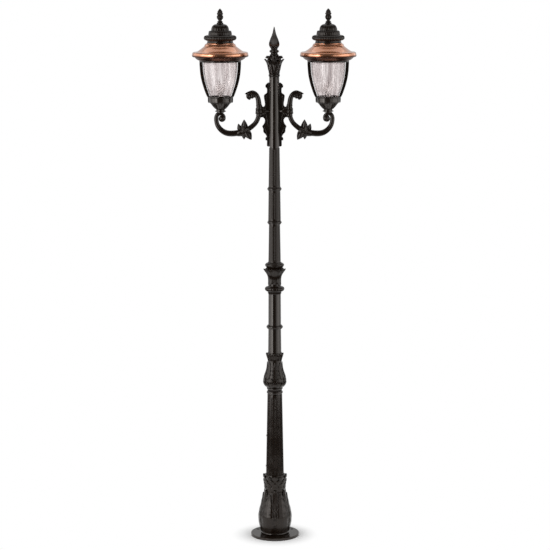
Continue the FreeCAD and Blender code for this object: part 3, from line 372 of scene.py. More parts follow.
# the backdrop is white where it is seen past the object or through the glass, and dimmer in the metal's shine
room = bpy.data.worlds.new("whiteRoom")
room.use_nodes = True
bpy.context.scene.world = room
air = Graph(room.node_tree)
air.tree.nodes.clear()
lookingBack = air.node("ShaderNodeSeparateXYZ", {}, {
    0: air.node("ShaderNodeTexCoord", output="Generated")}, output=1)
rise = (lookingBack - studioLook["backdropFrom"]) * studioLook["backdropRise"]
backdrop = rise.maths("MAXIMUM", rise.maths("SMOOTH_MIN", rise, 1.0), 0.0)
seen = (air.rays("Is Camera Ray", "Is Transmission Ray")
        + backdrop * air.rays("Is Glossy Ray") * studioLook["backdrop"])
grey = air.node("ShaderNodeBackground", {}, {"Color": (1, 1, 1, 1), "Strength": studioLook["roomGrey"]})
white = air.node("ShaderNodeBackground", {}, {"Color": (1, 1, 1, 1)})
blend = air.node("ShaderNodeMixShader", {}, {0: seen, 1: grey, 2: white})
air.plug(air.tree.nodes.new("ShaderNodeOutputWorld").inputs["Surface"], blend)
bpy.context.scene.view_settings.view_transform = "Standard"

# Pale floor: it takes the shadow near the flange and runs out into the white room.
floorLook = {
    "radius": 1.5,
    "sides": 96,
    "paint": (0.95, 0.95, 0.95, 1),
    "matt": 0.8,
    "fade": (0.1, 0.28),  # distances between which the shadow runs out
}
bpy.ops.mesh.primitive_circle_add(vertices=floorLook["sides"], radius=floorLook["radius"], fill_type="NGON")
floor = bpy.context.object
floor.name = "paleFloor"
floorFinish = Finish("paleFloor")
floorFinish.surface({"Base Color": floorLook["paint"], "Roughness": floorLook["matt"]})
away = floorFinish.node("ShaderNodeVectorMath", {"operation": "LENGTH"}, {
    0: floorFinish.place()}, output="Value")
white = floorFinish.node("ShaderNodeEmission", {}, {"Color": (1, 1, 1, 1)})
blend = floorFinish.node("ShaderNodeMixShader", {}, {
    0: (floorFinish.smooth(away, *floorLook["fade"])
        * floorFinish.rays("Is Camera Ray", "Is Transmission Ray", "Is Glossy Ray")),
    1: Wire(floorFinish, floorFinish.shader.outputs[0]),
    2: white})
floorFinish.plug(floorFinish.tree.nodes["Material Output"].inputs["Surface"], blend)
floor.data.materials.append(floorFinish.material)
print("studio set")

# Modelling helpers.
mm = 0.001


def choose(piece):
    if bpy.context.object and bpy.context.object.mode != "OBJECT":
        bpy.ops.object.mode_set(mode="OBJECT")
    bpy.ops.object.select_all(action="DESELECT")
    if piece:
        piece.select_set(True)
        bpy.context.view_layer.objects.active = piece


def pickAll(piece):
    choose(piece)
    bpy.ops.object.mode_set(mode="EDIT")
    bpy.ops.mesh.select_all(action="SELECT")


# leaves the piece in edit mode, with the vertices selected that pass the test
def pick(piece, test):
    choose(piece)
    bpy.ops.object.mode_set(mode="EDIT")
    bpy.ops.mesh.select_mode(type="VERT")
    bpy.ops.mesh.select_all(action="DESELECT")
    bpy.ops.object.mode_set(mode="OBJECT")
    for vertex in piece.data.vertices:
        vertex.select = bool(test(vertex))
    bpy.ops.object.mode_set(mode="EDIT")


def shiftPart(piece, step, test=None):
    if test:
        pick(piece, test)
    else:
        pickAll(piece)
    bpy.ops.transform.translate(value=step)
    bpy.ops.object.mode_set(mode="OBJECT")


def applyTransform(piece):
    choose(piece)
    bpy.ops.object.transform_apply(location=True, rotation=True, scale=True)


def smoothed(piece, smoothBelow):
    choose(piece)
    bpy.ops.object.shade_smooth_by_angle(angle=math.radians(smoothBelow))
    return piece


# merges the doubles, turns the faces outwards and puts the object on the origin
def tidyMesh(piece, smoothBelow, gap=0.05):
    pickAll(piece)
    bpy.ops.mesh.remove_doubles(threshold=gap * mm)
    bpy.ops.mesh.normals_make_consistent(inside=False)
    applyTransform(piece)
    return smoothed(piece, smoothBelow)


def applyModifier(piece, kind, settings):
    choose(piece)
    modifier = piece.modifiers.new(kind.lower(), kind)
    for key, value in settings.items():
        setattr(modifier, key, value)
    bpy.ops.object.modifier_apply(modifier=modifier.name)


def subdivided(piece, levels):
    applyModifier(piece, "SUBSURF", {"levels": levels, "render_levels": levels})


# a profile of (radius, height) points turned round an upright axis, ring by ring
def turned(name, profile, middle=(0, 0), sides=64, smoothBelow=40):
    radius, height = profile[0]
    choose(None)
    bpy.ops.mesh.primitive_circle_add(
        vertices=sides, radius=radius * mm, location=(middle[0], middle[1], height * mm))
    piece = bpy.context.object
    piece.name = name
    bpy.ops.object.mode_set(mode="EDIT")
    for (lastRadius, lastHeight), (radius, height) in zip(profile, profile[1:]):
        bpy.ops.mesh.extrude_region_move(
            TRANSFORM_OT_translate={"value": (0, 0, (height - lastHeight) * mm)})
        share = radius / lastRadius
        bpy.ops.transform.resize(
            value=(share, share, 1), center_override=(middle[0], middle[1], height * mm))
    return tidyMesh(piece, smoothBelow)


# which of the upright lines of a turned piece a point lies on
def lineOf(point, middle, sides):
    angle = math.atan2(point.y - middle[1], point.x - middle[0])
    return round(angle / (2 * math.pi) * sides) % sides


# Scales every so many upright lines of a turned piece towards its axis, between two heights and beyond the
# least radius. A soft groove takes the lines beside them half as far.
def groove(piece, sides, share, every, low, high, least=0, start=0, soft=False, middle=(0, 0)):
    rounds = [(share, (start,))]
    if soft:
        rounds.append(((1 + share) / 2, ((start - 1) % every, (start + 1) % every)))
    for size, lines in rounds:
        pick(piece, lambda vertex: (
            low < vertex.co.z / mm < high and lineOf(vertex.co, middle, sides) % every in lines
            and math.hypot(vertex.co.x - middle[0], vertex.co.y - middle[1]) > least * mm))
        bpy.ops.transform.resize(value=(size, size, 1), center_override=(middle[0], middle[1], 0))
        bpy.ops.object.mode_set(mode="OBJECT")


# a copy with its own mesh, turned round the column's axis or mirrored to the other side
def copied(piece, name, turn=0.0, mirrored=False):
    choose(piece)
    bpy.ops.object.duplicate(linked=False)
    copy = bpy.context.object
    copy.name = name
    if turn:
        pickAll(copy)
        bpy.ops.transform.rotate(value=-turn, orient_axis="Z", center_override=(0, 0, 0))
        bpy.ops.object.mode_set(mode="OBJECT")
    if mirrored:
        copy.scale.x = -1
        applyTransform(copy)
        pickAll(copy)
        bpy.ops.mesh.normals_make_consistent(inside=False)
        bpy.ops.object.mode_set(mode="OBJECT")
    return copy


def joined(name, parts):
    choose(parts[0])
    for part in parts[1:]:
        part.select_set(True)
    bpy.ops.object.join()
    parts[0].name = name
    return parts[0]


# a piece's finish, its body, its material slot, which is not used, and the nodes that it stands for
def placed(piece, finish, body, slot, *nodes):
    applyTransform(piece)
    piece.data.materials.clear()
    piece.data.materials.append(finishes[finish])
    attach(piece, body)
    if nodes:
        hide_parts(*nodes)


# a round bar of varying thickness along a smooth middle line in the plane of the arms
def bar(name, line):
    choose(None)
    bpy.ops.curve.primitive_nurbs_path_add(location=(0, 0, 0))
    piece = bpy.context.object
    piece.name = name
    piece.data.splines.clear()
    spline = piece.data.splines.new("NURBS")
    spline.points.add(len(line) - 1)
    for point, (x, height, radius) in zip(spline.points, line):
        point.co = (x * mm, 0, height * mm, 1)
        point.radius = radius
    spline.order_u = 3
    spline.use_endpoint_u = True
    spline.resolution_u = 5
    piece.data.bevel_depth = mm
    piece.data.bevel_resolution = 6
    piece.data.use_fill_caps = True
    bpy.ops.object.convert(target="MESH")
    return tidyMesh(bpy.context.object, smoothBelow=60)


# an upright grid with a row for each (height, half width) pair; it starts a millimetre wide to each side
def bladeGrid(name, rows, columns):
    low, high = rows[0][0], rows[-1][0]
    choose(None)
    bpy.ops.mesh.primitive_grid_add(
        x_subdivisions=columns, y_subdivisions=len(rows) - 1, size=1, rotation=(math.radians(90), 0, 0))
    blade = bpy.context.object
    blade.name = name
    blade.scale = (2 * mm, (high - low) * mm, 1)
    applyTransform(blade)
    evenly = [(high - low) * (step / (len(rows) - 1) - 0.5) for step in range(len(rows))]
    near = (high - low) / len(rows) / 3
    # rows that are done wait a metre higher, out of reach of the next pick
    for even, (height, halfWidth) in zip(evenly, rows):
        pick(blade, lambda vertex: abs(vertex.co.z / mm - even) < near)
        bpy.ops.transform.resize(value=(halfWidth, 1, 1), center_override=(0, 0, 0))
        bpy.ops.transform.translate(value=(0, 0, (height - even) * mm + 1))
        bpy.ops.object.mode_set(mode="OBJECT")
    shiftPart(blade, (0, 0, -1))
    return blade


# a closed outline of (x, height) points as a plate, or only its edge as a rim
def outlined(name, outline, halfThick, bevel, filled=True):
    choose(None)
    bpy.ops.curve.primitive_nurbs_path_add(location=(0, 0, 0))
    piece = bpy.context.object
    piece.name = name
    shape = piece.data
    shape.dimensions = "2D"
    shape.splines.clear()
    spline = shape.splines.new("NURBS")
    spline.points.add(len(outline) - 1)
    for point, (x, height) in zip(spline.points, outline):
        point.co = (x * mm, height * mm, 0, 1)
    spline.order_u = 3
    spline.use_cyclic_u = True
    spline.resolution_u = 4
    shape.fill_mode = "BOTH" if filled else "NONE"
    shape.extrude = (halfThick - bevel) * mm
    shape.bevel_depth = bevel * mm
    shape.bevel_resolution = 3
    shape.offset = -bevel * mm
    bpy.ops.object.convert(target="MESH")
    bpy.context.object.rotation_euler.x = math.radians(90)
    return tidyMesh(bpy.context.object, smoothBelow=45)


def ball(name, radius, place, rotation, stretch, segments, rings):
    choose(None)
    bpy.ops.mesh.primitive_uv_sphere_add(
        segments=segments, ring_count=rings, radius=radius * mm, location=place, rotation=rotation)
    piece = bpy.context.object
    piece.name = name
    piece.scale = stretch
    applyTransform(piece)
    bpy.ops.object.shade_smooth()
    return piece


# Leaves are laid on a turned body, given a wall and copied round the axis.
leafLook = {
    "columns": 6,
    "start": (0, -0.3, 0),  # metres in front, before a leaf is laid on its body
    "smoothBelow": 60,
    "curlSides": (14, 9),
}


# a leaf on the front of a body: rows of (height, half width, lift), raised along its middle and side ribs
def leafOn(body, name, look):
    rows = look["rows"]
    columns = leafLook["columns"]
    leaf = bladeGrid(name, [(height, width) for height, width, lift in rows], columns)
    shiftPart(leaf, leafLook["start"])
    applyModifier(leaf, "SHRINKWRAP", {
        "target": body, "wrap_method": "PROJECT", "use_project_y": True, "use_positive_direction": True,
        "offset": look["gap"] * mm})
    groups = {}
    for vertex in leaf.data.vertices:
        row, column = divmod(vertex.index, columns + 1)
        away = abs(column - columns // 2)
        step = rows[row][2] + {0: look["rib"], 2: look["side"]}.get(away, 0)
        groups.setdefault(step, set()).add(vertex.index)
    for step, numbers in groups.items():
        shiftPart(leaf, (0, -step * mm, 0), lambda vertex: vertex.index in numbers)
    if sum(face.normal.y for face in leaf.data.polygons) > 0:
        pickAll(leaf)
        bpy.ops.mesh.flip_normals()
        bpy.ops.object.mode_set(mode="OBJECT")
    applyModifier(leaf, "SOLIDIFY", {"thickness": look["wall"] * mm, "offset": -1})
    subdivided(leaf, 1)
    return smoothed(leaf, leafLook["smoothBelow"])


# copies of a leaf round the column's axis, the first one turned by start degrees
def leafRing(leaf, count, start):
    ring = []
    for place in range(count):
        turn = math.radians(start + 360 / count * place)
        ring.append(copied(leaf, leaf.name + "_%d" % place, turn))
    choose(leaf)
    bpy.ops.object.delete()
    return ring


# small cast curls at the tips of the leaves' lobes, in pairs beside each leaf's middle
def curlRings(name, look):
    curls = []
    for height, out, radius, off in look["places"]:
        for turn in (-math.radians(off), math.radians(off)):
            place = (out * math.sin(turn) * mm, -out * math.cos(turn) * mm, height * mm)
            curls.append(ball("curl", radius, place, (0, 0, turn), look["shape"], *leafLook["curlSides"]))
    return leafRing(joined(name + "_curls", curls), look["count"], look["start"])


# a turned body with rings of leaves, and with curls where it has them
def dressed(name, look):
    parts = [turned(name, look["outline"], sides=look["sides"])]
    for band in look.get("grooves", ()):
        groove(parts[0], look["sides"], **band)
    if "curls" in look:
        parts.extend(curlRings(name, look["curls"]))
    for number, leaves in enumerate(look["leaves"]):
        leaf = leafOn(parts[0], "%s_leaf_%d" % (name, number), leaves)
        parts.extend(leafRing(leaf, leaves["count"], leaves["start"]))
    return joined(name, parts)


# the same piece for both sides: made on the right, and mirrored for the left
def pair(piece, finish, body, slot, node):
    piece.name = "right_" + node + "_form"
    mirrored = copied(piece, "left_" + node + "_form", mirrored=True)
    for side, made in (("right", piece), ("left", mirrored)):
        placed(made, finish, body if body == "root" else side + "_" + body, slot, side + "_" + node)
    print("made both sides:", node, len(piece.data.polygons))


# one piece of the column
def casting(piece, node):
    piece.name = node + "_form"
    placed(piece, "castPaint", "root", "dark_paint", node)
    print("made", piece.name, len(piece.data.polygons))


# Lanterns, modelled on the right and mirrored for the left.
lanternMiddle = (0.326, 0)

canopyLook = {
    "sides": 128,
    "smoothBelow": 50,
    "outline": [
        (119.4, 2963.6), (131, 2963.6), (136, 2965.5), (143, 2970), (150, 2976.5), (156, 2983),
        (160, 2983.6), (165, 2984), (168.6, 2986.2), (170.4, 2989.6), (170.8, 2993), (170.2, 2997),
        (169, 3002), (167.8, 3008), (165, 3011.4), (160.5, 3013), (155, 3012.8), (150, 3012.8),
        (145, 3014.2), (139, 3016.6), (122.5, 3027.5), (102, 3042.8), (98.4, 3045.8), (96.2, 3048.6),
        (94.6, 3052), (92.2, 3058.8), (90.6, 3061), (87.6, 3062.2), (84, 3062.6), (83.4, 3065.2),
        (80, 3065.2), (81, 3058), (90, 3047), (121, 3023), (146, 3003.5), (157, 2997), (163, 2994),
        (160, 2989), (154, 2986), (147, 2979), (139, 2972), (132, 2967), (119.4, 2966.5), (119.4, 2963.6)],
}
crownLook = {
    "sides": 192,
    "outline": [
        (6.6, 3190.2), (12, 3190.2), (16.5, 3189.2), (20, 3187), (21, 3184.4), (19.5, 3181.8), (24, 3180.6),
        (33, 3178.4), (41, 3174), (47.5, 3167.5), (51.8, 3158), (53.8, 3148.5), (54, 3142.6), (58, 3141.6),
        (63.5, 3140.6), (67.5, 3138), (69.6, 3131), (71, 3122), (71.5, 3115.8), (76, 3114.8), (86, 3113),
        (93.5, 3109.4), (97.8, 3104), (99, 3098), (97.8, 3092), (93.5, 3086.6), (87, 3083.2), (80, 3081.6),
        (78, 3079.5), (78, 3070), (81, 3067), (82, 3065.4), (74, 3065.4), (72, 3085), (66, 3108),
        (60, 3128), (48, 3138), (44, 3158), (34, 3170), (12, 3178), (6.6, 3179), (6.6, 3190.2)],
    "smoothBelow": 55,
    "grooves": [  # the dome's lobes, the tier's ribs and the roll's ribs
        {"every": 12, "share": 0.93, "low": 3144, "high": 3177, "least": 36, "soft": True},
        {"every": 6, "share": 0.965, "low": 3118, "high": 3139, "least": 64},
        {"every": 3, "share": 0.955, "low": 3084, "high": 3112, "least": 84},
    ],
}
finialLook = {
    "sides": 48,
    "outline": [
        (0.1, 3190.4), (12, 3190.4), (17, 3191), (18, 3193.5), (14.5, 3197), (10.5, 3200), (10.2, 3203),
        (13, 3207), (17.5, 3212.5), (20.2, 3219), (20.4, 3224), (18.6, 3230), (15, 3234.2), (14.2, 3235.5),
        (18, 3238.5), (18.8, 3243), (17, 3247.6), (14.8, 3250.4), (14.2, 3251.6), (15.6, 3254),
        (14.6, 3258), (11.6, 3261.6), (9.8, 3263.4), (7.8, 3267), (4.2, 3271), (0.1, 3273.2)],
    "smoothBelow": 60,
    "grooves": [  # three tiers of scales, the middle one set between the others
        {"every": 8, "share": 0.74, "low": 3205, "high": 3235, "soft": True},
        {"every": 8, "share": 0.74, "low": 3235.2, "high": 3250.6, "start": 4, "soft": True},
        {"every": 8, "share": 0.74, "low": 3251, "high": 3266, "soft": True},
    ],
}
bowlLook = {
    "sides": 192,
    "every": 4,  # a rib's root at every fourth upright line, 48 in all
    "ribDepth": 2.0,
    "near": 0.1,  # how near a point is to the outline's height that it belongs to
    "smoothBelow": 80,
    "outline": [
        (95, 2953), (103, 2951), (103.3, 2938), (102.6, 2920), (101.2, 2900), (98.6, 2878), (94.8, 2855),
        (90, 2833), (84.5, 2812), (78.6, 2792), (72.6, 2774), (67.5, 2760), (63.5, 2749), (61.6, 2742),
        (61.5, 2738)],
    "wall": 3.2,
}
cageLook = {
    "sides": 96,
    "topRing": [
        (107, 2954.2), (125.2, 2954.2), (126.6, 2956), (127, 2959), (126, 2962.6), (118.4, 2962.8),
        (118.4, 2967.9), (107, 2967.9), (107, 2954.2)],
    "footRing": [
        (66.4, 2737.3), (73.5, 2737.3), (75.4, 2739), (75.8, 2742), (74.6, 2745.4), (71, 2747),
        (66.4, 2747), (66.4, 2737.3)],
    "rib": [  # out from the lantern's axis, height
        (74, 2738), (79, 2741), (86, 2755), (96.8, 2784), (106.8, 2814), (114.6, 2844), (120.4, 2874),
        (123.4, 2904), (125.2, 2932), (126, 2954), (123, 2959), (110, 2959), (106, 2955), (105.6, 2938),
        (104.8, 2920), (103.4, 2900), (100.8, 2878), (97, 2855), (92.2, 2833), (86.8, 2812), (80.8, 2792),
        (74.8, 2774), (69.6, 2760), (66, 2748), (66.2, 2739)],
    "ribHalf": 9,
    "groove": 2.2,
    "lug": [(68, 2707), (72, 2707), (75, 2711), (76, 2718), (76.5, 2739), (75, 2742), (68, 2742)],
    "lugHalf": 10,
    "lugEdge": 1.5,
}
cupLook = {
    "sides": 64,
    "outline": [
        (27, 2666.3), (29, 2668.5), (34.5, 2674), (42, 2682), (49, 2691), (55, 2700), (58.5, 2704),
        (64, 2706.5), (68.5, 2708), (71.4, 2710.5), (72, 2713), (72, 2733), (71, 2736.8), (62, 2736.8),
        (62, 2731.6), (65, 2731), (64, 2718), (53, 2706), (40, 2692), (30, 2686.2), (8, 2686.2),
        (8, 2666.3), (27, 2666.3)],
    "leaves": [
        {"gap": 1.8, "wall": 3, "rib": 1.8, "side": 0.6, "count": 8, "start": 22.5, "rows": [
            (2669, 8, 0), (2677, 11, 0.2), (2685, 14, 0.4), (2693, 16, 0.6), (2700, 14.5, 0.8),
            (2704.5, 9, 1), (2706.5, 3, 0.6)]},
        {"gap": 1.2, "wall": 3, "rib": 1.2, "side": 0.4, "count": 8, "start": 0, "rows": [
            (2684, 5, 0), (2691, 8, 0), (2698, 9, 0.2), (2703.5, 6.5, 0.6), (2706.5, 2.5, 0.4)]},
    ],
}


# a turned piece on the lantern's axis, with its grooves
def lanternTurned(name, look):
    piece = turned(name, look["outline"], lanternMiddle, look["sides"], look["smoothBelow"])
    for band in look.get("grooves", ()):
        groove(piece, look["sides"], middle=lanternMiddle, **band)
    return piece


# ribs outside, smooth inside
def glass():
    outline = bowlLook["outline"]
    inside = [(radius - bowlLook["wall"], height) for radius, height in reversed(outline)]
    piece = lanternTurned("glass", {**bowlLook, "outline": outline + inside + outline[:1]})
    every = bowlLook["every"]
    for radius, height in outline[1:]:
        groove(piece, bowlLook["sides"], (radius - bowlLook["ribDepth"]) / radius, every,
               height - bowlLook["near"], height + bowlLook["near"], least=radius - 1, middle=lanternMiddle)
    # marks the roots of the ribs on the outer wall for the painted shade lines: 1 on a root, 0.5 beside it
    marks = {0: 1.0, 1: 0.5, every - 1: 0.5}
    roots = piece.data.attributes.new("ribRoot", "FLOAT", "POINT")
    for vertex, mark in zip(piece.data.vertices, roots.data):
        outward = vertex.normal.x * (vertex.co.x - lanternMiddle[0]) + vertex.normal.y * vertex.co.y
        if outward > 0:
            mark.value = marks.get(lineOf(vertex.co, lanternMiddle, bowlLook["sides"]) % every, 0.0)
    return piece


# two ribs from the foot ring to the top ring, each with rounded edges, and a lug under each
def cage():
    x = lanternMiddle[0] / mm
    parts = [turned("cageTop", cageLook["topRing"], lanternMiddle, cageLook["sides"]),
             turned("cageFoot", cageLook["footRing"], lanternMiddle, cageLook["sides"])]
    for side in (-1, 1):
        rib = [(x + side * away, height) for away, height in cageLook["rib"]][::side]
        lug = [(x + side * away, height) for away, height in cageLook["lug"]][::side]
        parts.append(outlined("cageRib", rib, cageLook["ribHalf"], cageLook["groove"]))
        parts.append(outlined("cageLug", lug, cageLook["lugHalf"], cageLook["lugEdge"]))
    return joined("cage", parts)


# modelled on the column's axis, then moved under the lantern
def cup():
    piece = dressed("cup", cupLook)
    shiftPart(piece, (lanternMiddle[0], 0, 0))
    return piece


pair(lanternTurned("canopy", canopyLook), "copper", "roof", "copper", "canopy")
pair(lanternTurned("crown", crownLook), "castPaint", "roof", "dark_paint", "crown")
pair(lanternTurned("finial", finialLook), "castPaint", "finial", "dark_paint", "finial")
pair(glass(), "glass", "root", "ribbed_glass", "glass")
pair(cage(), "castPaint", "root", "dark_paint", "cage")
pair(cup(), "darkPaint", "root", "dark_paint", "cup")
print("lanterns made")

# Column castings.
baseLook = {
    "sides": 96,
    "outline": [
        (84, 16.3), (87, 18), (88.5, 21.5), (87, 25), (85, 28), (86, 34), (90.5, 53), (96, 75), (98, 95),
        (98.5, 122), (95.5, 148), (89.5, 172), (82, 200), (75.5, 228), (70, 252), (66, 272), (64, 290),
        (64, 300), (66.5, 304), (67, 309), (65.5, 313), (63, 318), (62.5, 330), (64, 338), (66.5, 344),
        (66.5, 350), (64, 355), (63.5, 365), (65, 375), (65.5, 384), (64, 390), (61, 391.9), (57.7, 391.9),
        (57.7, 331), (42, 328), (42, 16.3), (84, 16.3)],
    "leaves": [
        {"gap": 3.4, "wall": 5, "rib": 3.6, "side": 2, "count": 6, "start": 30, "rows": [
            (27, 30, 0), (50, 40, 0), (70, 48, 0.6), (88, 46, 1.2), (99, 34, 0), (116, 48, 1.6),
            (134, 46, 2.6), (147, 31, 0.4), (164, 42, 2.2), (180, 39, 3.2), (192, 25, 0.8), (208, 32, 2.8),
            (223, 27, 3.6), (233, 16, 1.6), (248, 19, 3.4), (264, 13, 4.4), (276, 4, 3.4)]},
        {"gap": 1.5, "wall": 3.6, "rib": 3, "side": 0.5, "count": 6, "start": 0, "rows": [
            (60, 10, 0), (110, 13, 0), (160, 12, 0.6), (200, 15, 1), (240, 18, 2.5), (262, 21, 4),
            (280, 18, 5.5), (291, 12, 6.5), (298, 4, 6)]},
        {"gap": 2.4, "wall": 5, "rib": 2.4, "side": 0.6, "count": 10, "start": 0, "rows": [
            (300, 13, 0), (312, 17, 1), (324, 19.5, 2.6), (333, 18, 4.6), (339, 12, 5), (342, 6, 4)]},
        {"gap": 2.4, "wall": 5.5, "rib": 2.4, "side": 0.6, "count": 10, "start": 18, "rows": [
            (322, 10, 0), (334, 15, 0.6), (345, 18.5, 2.6), (354, 17.5, 5.2), (360, 13, 6), (363, 7, 4.8)]},
        {"gap": 2.4, "wall": 6.5, "rib": 2.6, "side": 0.4, "count": 10, "start": 0, "rows": [
            (344, 9, 0), (355, 15, 0.8), (366, 19, 3), (376, 19.5, 6.6), (383, 16, 8.6), (387, 10, 8),
            (389, 5, 6)]},
    ],
    "curls": {
        "count": 6, "start": 30, "shape": (1, 0.7, 1.25),
        # height, distance from the axis, radius, degrees off the leaf's middle
        "places": [
            (84, 95.5, 9, 25.5), (126, 97, 10.5, 24.5), (150, 96.5, 7, 9.5), (171, 89, 9.5, 23.5),
            (193, 85.5, 6.5, 8.5), (212, 79, 8.5, 20), (232, 76.5, 6, 7), (250, 70.5, 7, 14),
            (268, 67.5, 5.5, 6)],
    },
}
bulbLook = {
    "sides": 96,
    "outline": [
        (43, 928.3), (45.5, 930), (46, 933), (48, 936), (50, 939), (49, 942), (47.5, 944), (51, 949),
        (60, 957), (65.5, 967), (68, 980), (68, 994), (65.5, 1008), (59.5, 1026), (53, 1044), (48.5, 1060),
        (45.5, 1078), (43.5, 1096), (42.5, 1114), (42, 1120), (44, 1132), (46.5, 1142), (47.5, 1150),
        (46.5, 1158), (44, 1164.8), (41.6, 1165.8), (41.6, 1144.4), (25, 1142), (25, 928.3), (43, 928.3)],
    "leaves": [
        {"gap": 2, "wall": 3.6, "rib": 2.2, "side": 0.8, "count": 8, "start": 0, "rows": [
            (1002, 13, 0), (1018, 17, 1.4), (1030, 16, 2), (1044, 15, 1.4), (1062, 13.5, 1),
            (1080, 11, 1.2), (1096, 7, 1.8), (1108, 2.5, 1.4)]},
        {"gap": 2.2, "wall": 4, "rib": 1.2, "side": 0.8, "count": 8, "start": 22.5, "rows": [
            (966, 5, 0), (972, 12, 1.6), (982, 16.5, 3), (994, 17, 3.2), (1006, 12, 1.8), (1013, 5, 0.4)]},
        {"gap": 2, "wall": 3.6, "rib": 1.4, "side": 0.8, "count": 8, "start": 0, "rows": [
            (946, 13, 0), (955, 16, 1), (966, 15.5, 2), (978, 11, 2.6), (988, 4, 1.6)]},
        {"gap": 2, "wall": 5, "rib": 2, "side": 0.5, "count": 8, "start": 22.5, "rows": [
            (1112, 8, 0), (1124, 12, 0.8), (1137, 14.5, 2), (1148, 12.5, 4), (1155, 8.5, 5), (1159, 4, 4.6)]},
        {"gap": 2, "wall": 5, "rib": 2, "side": 0.5, "count": 8, "start": 0, "rows": [
            (1122, 8, 0), (1134, 11.5, 0.6), (1146, 13.5, 2.6), (1155, 12, 5), (1161, 8, 6), (1164, 4, 5.4)]},
    ],
    "curls": {
        "count": 8, "start": 0, "shape": (1, 0.7, 1.2),
        "places": [
            (990, 68.5, 6, 13), (1012, 65, 6, 10), (1032, 59, 5.5, 15), (1056, 51.5, 5, 14),
            (1082, 46, 4.5, 12)],
    },
}
vaseLook = {
    "sides": 96,
    "outline": [
        (38, 1532.3), (40.5, 1534), (42, 1539), (42, 1546), (43.5, 1548), (50, 1550), (56, 1554),
        (59.4, 1560), (60, 1566), (57.5, 1572), (51.5, 1576.4), (43.5, 1578.4), (40, 1581), (38, 1587),
        (37, 1599), (36.4, 1614), (36.6, 1628), (38, 1640), (41.5, 1652), (45.5, 1664), (47, 1674),
        (46, 1684), (45, 1692), (48, 1697), (53.5, 1702), (57, 1706.5), (58.8, 1712), (57.6, 1717),
        (52.5, 1722), (46, 1725), (42.5, 1727), (41, 1729.8), (25, 1729.8), (25, 1532.3), (38, 1532.3)],
    "leaves": [
        {"gap": 1.8, "wall": 6, "rib": 2.2, "side": 0.6, "count": 8, "start": 0, "rows": [
            (1586, 8, 0), (1604, 10, 0.2), (1624, 11.5, 0.4), (1642, 13.5, 1), (1655, 16, 3),
            (1665, 17.5, 6.5), (1674, 18, 12), (1681, 16, 17.5), (1687, 12, 20.5), (1690, 7, 20)]},
        {"gap": 1.8, "wall": 6, "rib": 2.2, "side": 0.6, "count": 8, "start": 22.5, "rows": [
            (1596, 5, 0), (1614, 7, 0.2), (1632, 9, 0.2), (1648, 11, 1.4), (1660, 13, 4), (1671, 14, 8.5),
            (1680, 12.5, 13), (1686, 8, 15)]},
    ],
    "grooves": [{"every": 4, "share": 0.955, "low": 1557, "high": 1575, "least": 52}],
}
capitalLook = {
    "sides": 96,
    "outline": [
        (31.2, 2864.3), (33.4, 2866), (34.4, 2870), (34.4, 2875), (33, 2878.5), (30.5, 2881), (30.5, 2890),
        (31.5, 2905), (33, 2925), (35, 2945), (37.5, 2960), (41, 2970), (41.5, 2974.6), (25, 2974.6),
        (25, 2870), (31.2, 2864.3)],
    "leaves": [
        {"gap": 3, "wall": 5, "rib": 3.4, "side": 0, "count": 8, "start": 22.5, "rows": [
            (2882, 8, 0), (2896, 10.5, 0.6), (2910, 12, 1.8), (2922, 11.5, 3.8), (2930, 9, 6),
            (2935, 4, 6.6)]},
        {"gap": 3, "wall": 7, "rib": 3.6, "side": 0, "count": 4, "start": 0, "rows": [
            (2898, 8, 0), (2912, 12, 1.4), (2926, 15, 3), (2939, 17, 4.8), (2950, 18, 7.6),
            (2959, 18, 11.6), (2966, 15, 15.4), (2970, 10, 16.2)]},
        {"gap": 3, "wall": 7, "rib": 3.6, "side": 0, "count": 4, "start": 45, "rows": [
            (2898, 8, 0), (2912, 12, 1.4), (2926, 14, 2.8), (2938, 15.5, 4.4), (2948, 16, 6.6),
            (2956, 15.5, 9.6), (2962, 13, 12.4), (2966, 8, 13)]},
    ],
    "abacus": {  # a square plate with its four sides drawn in
        "sides": 48,
        "outline": [
            (50, 2974.4), (53, 2977.4), (53, 2982.4), (49, 2984.4), (49, 2989.7), (25, 2989.7),
            (25, 2974.4), (50, 2974.4)],
        "hollow": 41 / 53,  # how far out the middle of a side is, against a corner
        "curve": 1.6,  # how sharply a side bends towards its corners
        "low": 2974,
        "high": 2990,
        "least": 30,
    },
}
spearLook = {
    "sides": 64,
    "groove": {"every": 4, "share": 0.94, "low": 3010, "high": 3022, "least": 24},
    "outline": [
        (25, 2989.7), (27, 2990.5), (27.5, 2994), (25.5, 2997.5), (21.5, 3001), (20.5, 3005), (22, 3009),
        (27, 3011.5), (29, 3016), (28.5, 3020.5), (25, 3023.5), (20, 3027), (18.5, 3032), (18, 3034),
        (0.1, 3034), (0.1, 2989.7), (25, 2989.7)],
    "bladeSides": 8,
    "bladeSmoothBelow": (20, 18),  # before and after its edges are drawn out
    "bladeGroove": {"every": 2, "start": 1, "share": 0.8, "low": 3027, "high": 3166},
    "blade": [
        (0.1, 3030), (15, 3028), (20, 3032), (24, 3038), (29, 3046), (32, 3056), (31.5, 3066), (28, 3079),
        (22.5, 3094), (16, 3109), (10.5, 3125), (6.5, 3143), (3.4, 3158), (1.2, 3164.8)],
}


def capital():
    look = capitalLook["abacus"]
    sides = look["sides"]
    abacus = turned("abacus", look["outline"], sides=sides)
    for step in range(sides):
        apart = step / sides * 360 % 90
        apart = min(apart, 90 - apart)
        share = look["hollow"] + (1 - look["hollow"]) * max(0, 1 - apart / 45) ** look["curve"]
        groove(abacus, sides, share, sides, look["low"], look["high"], least=look["least"], start=step)
    return joined("capital", [dressed("capital", capitalLook), abacus])


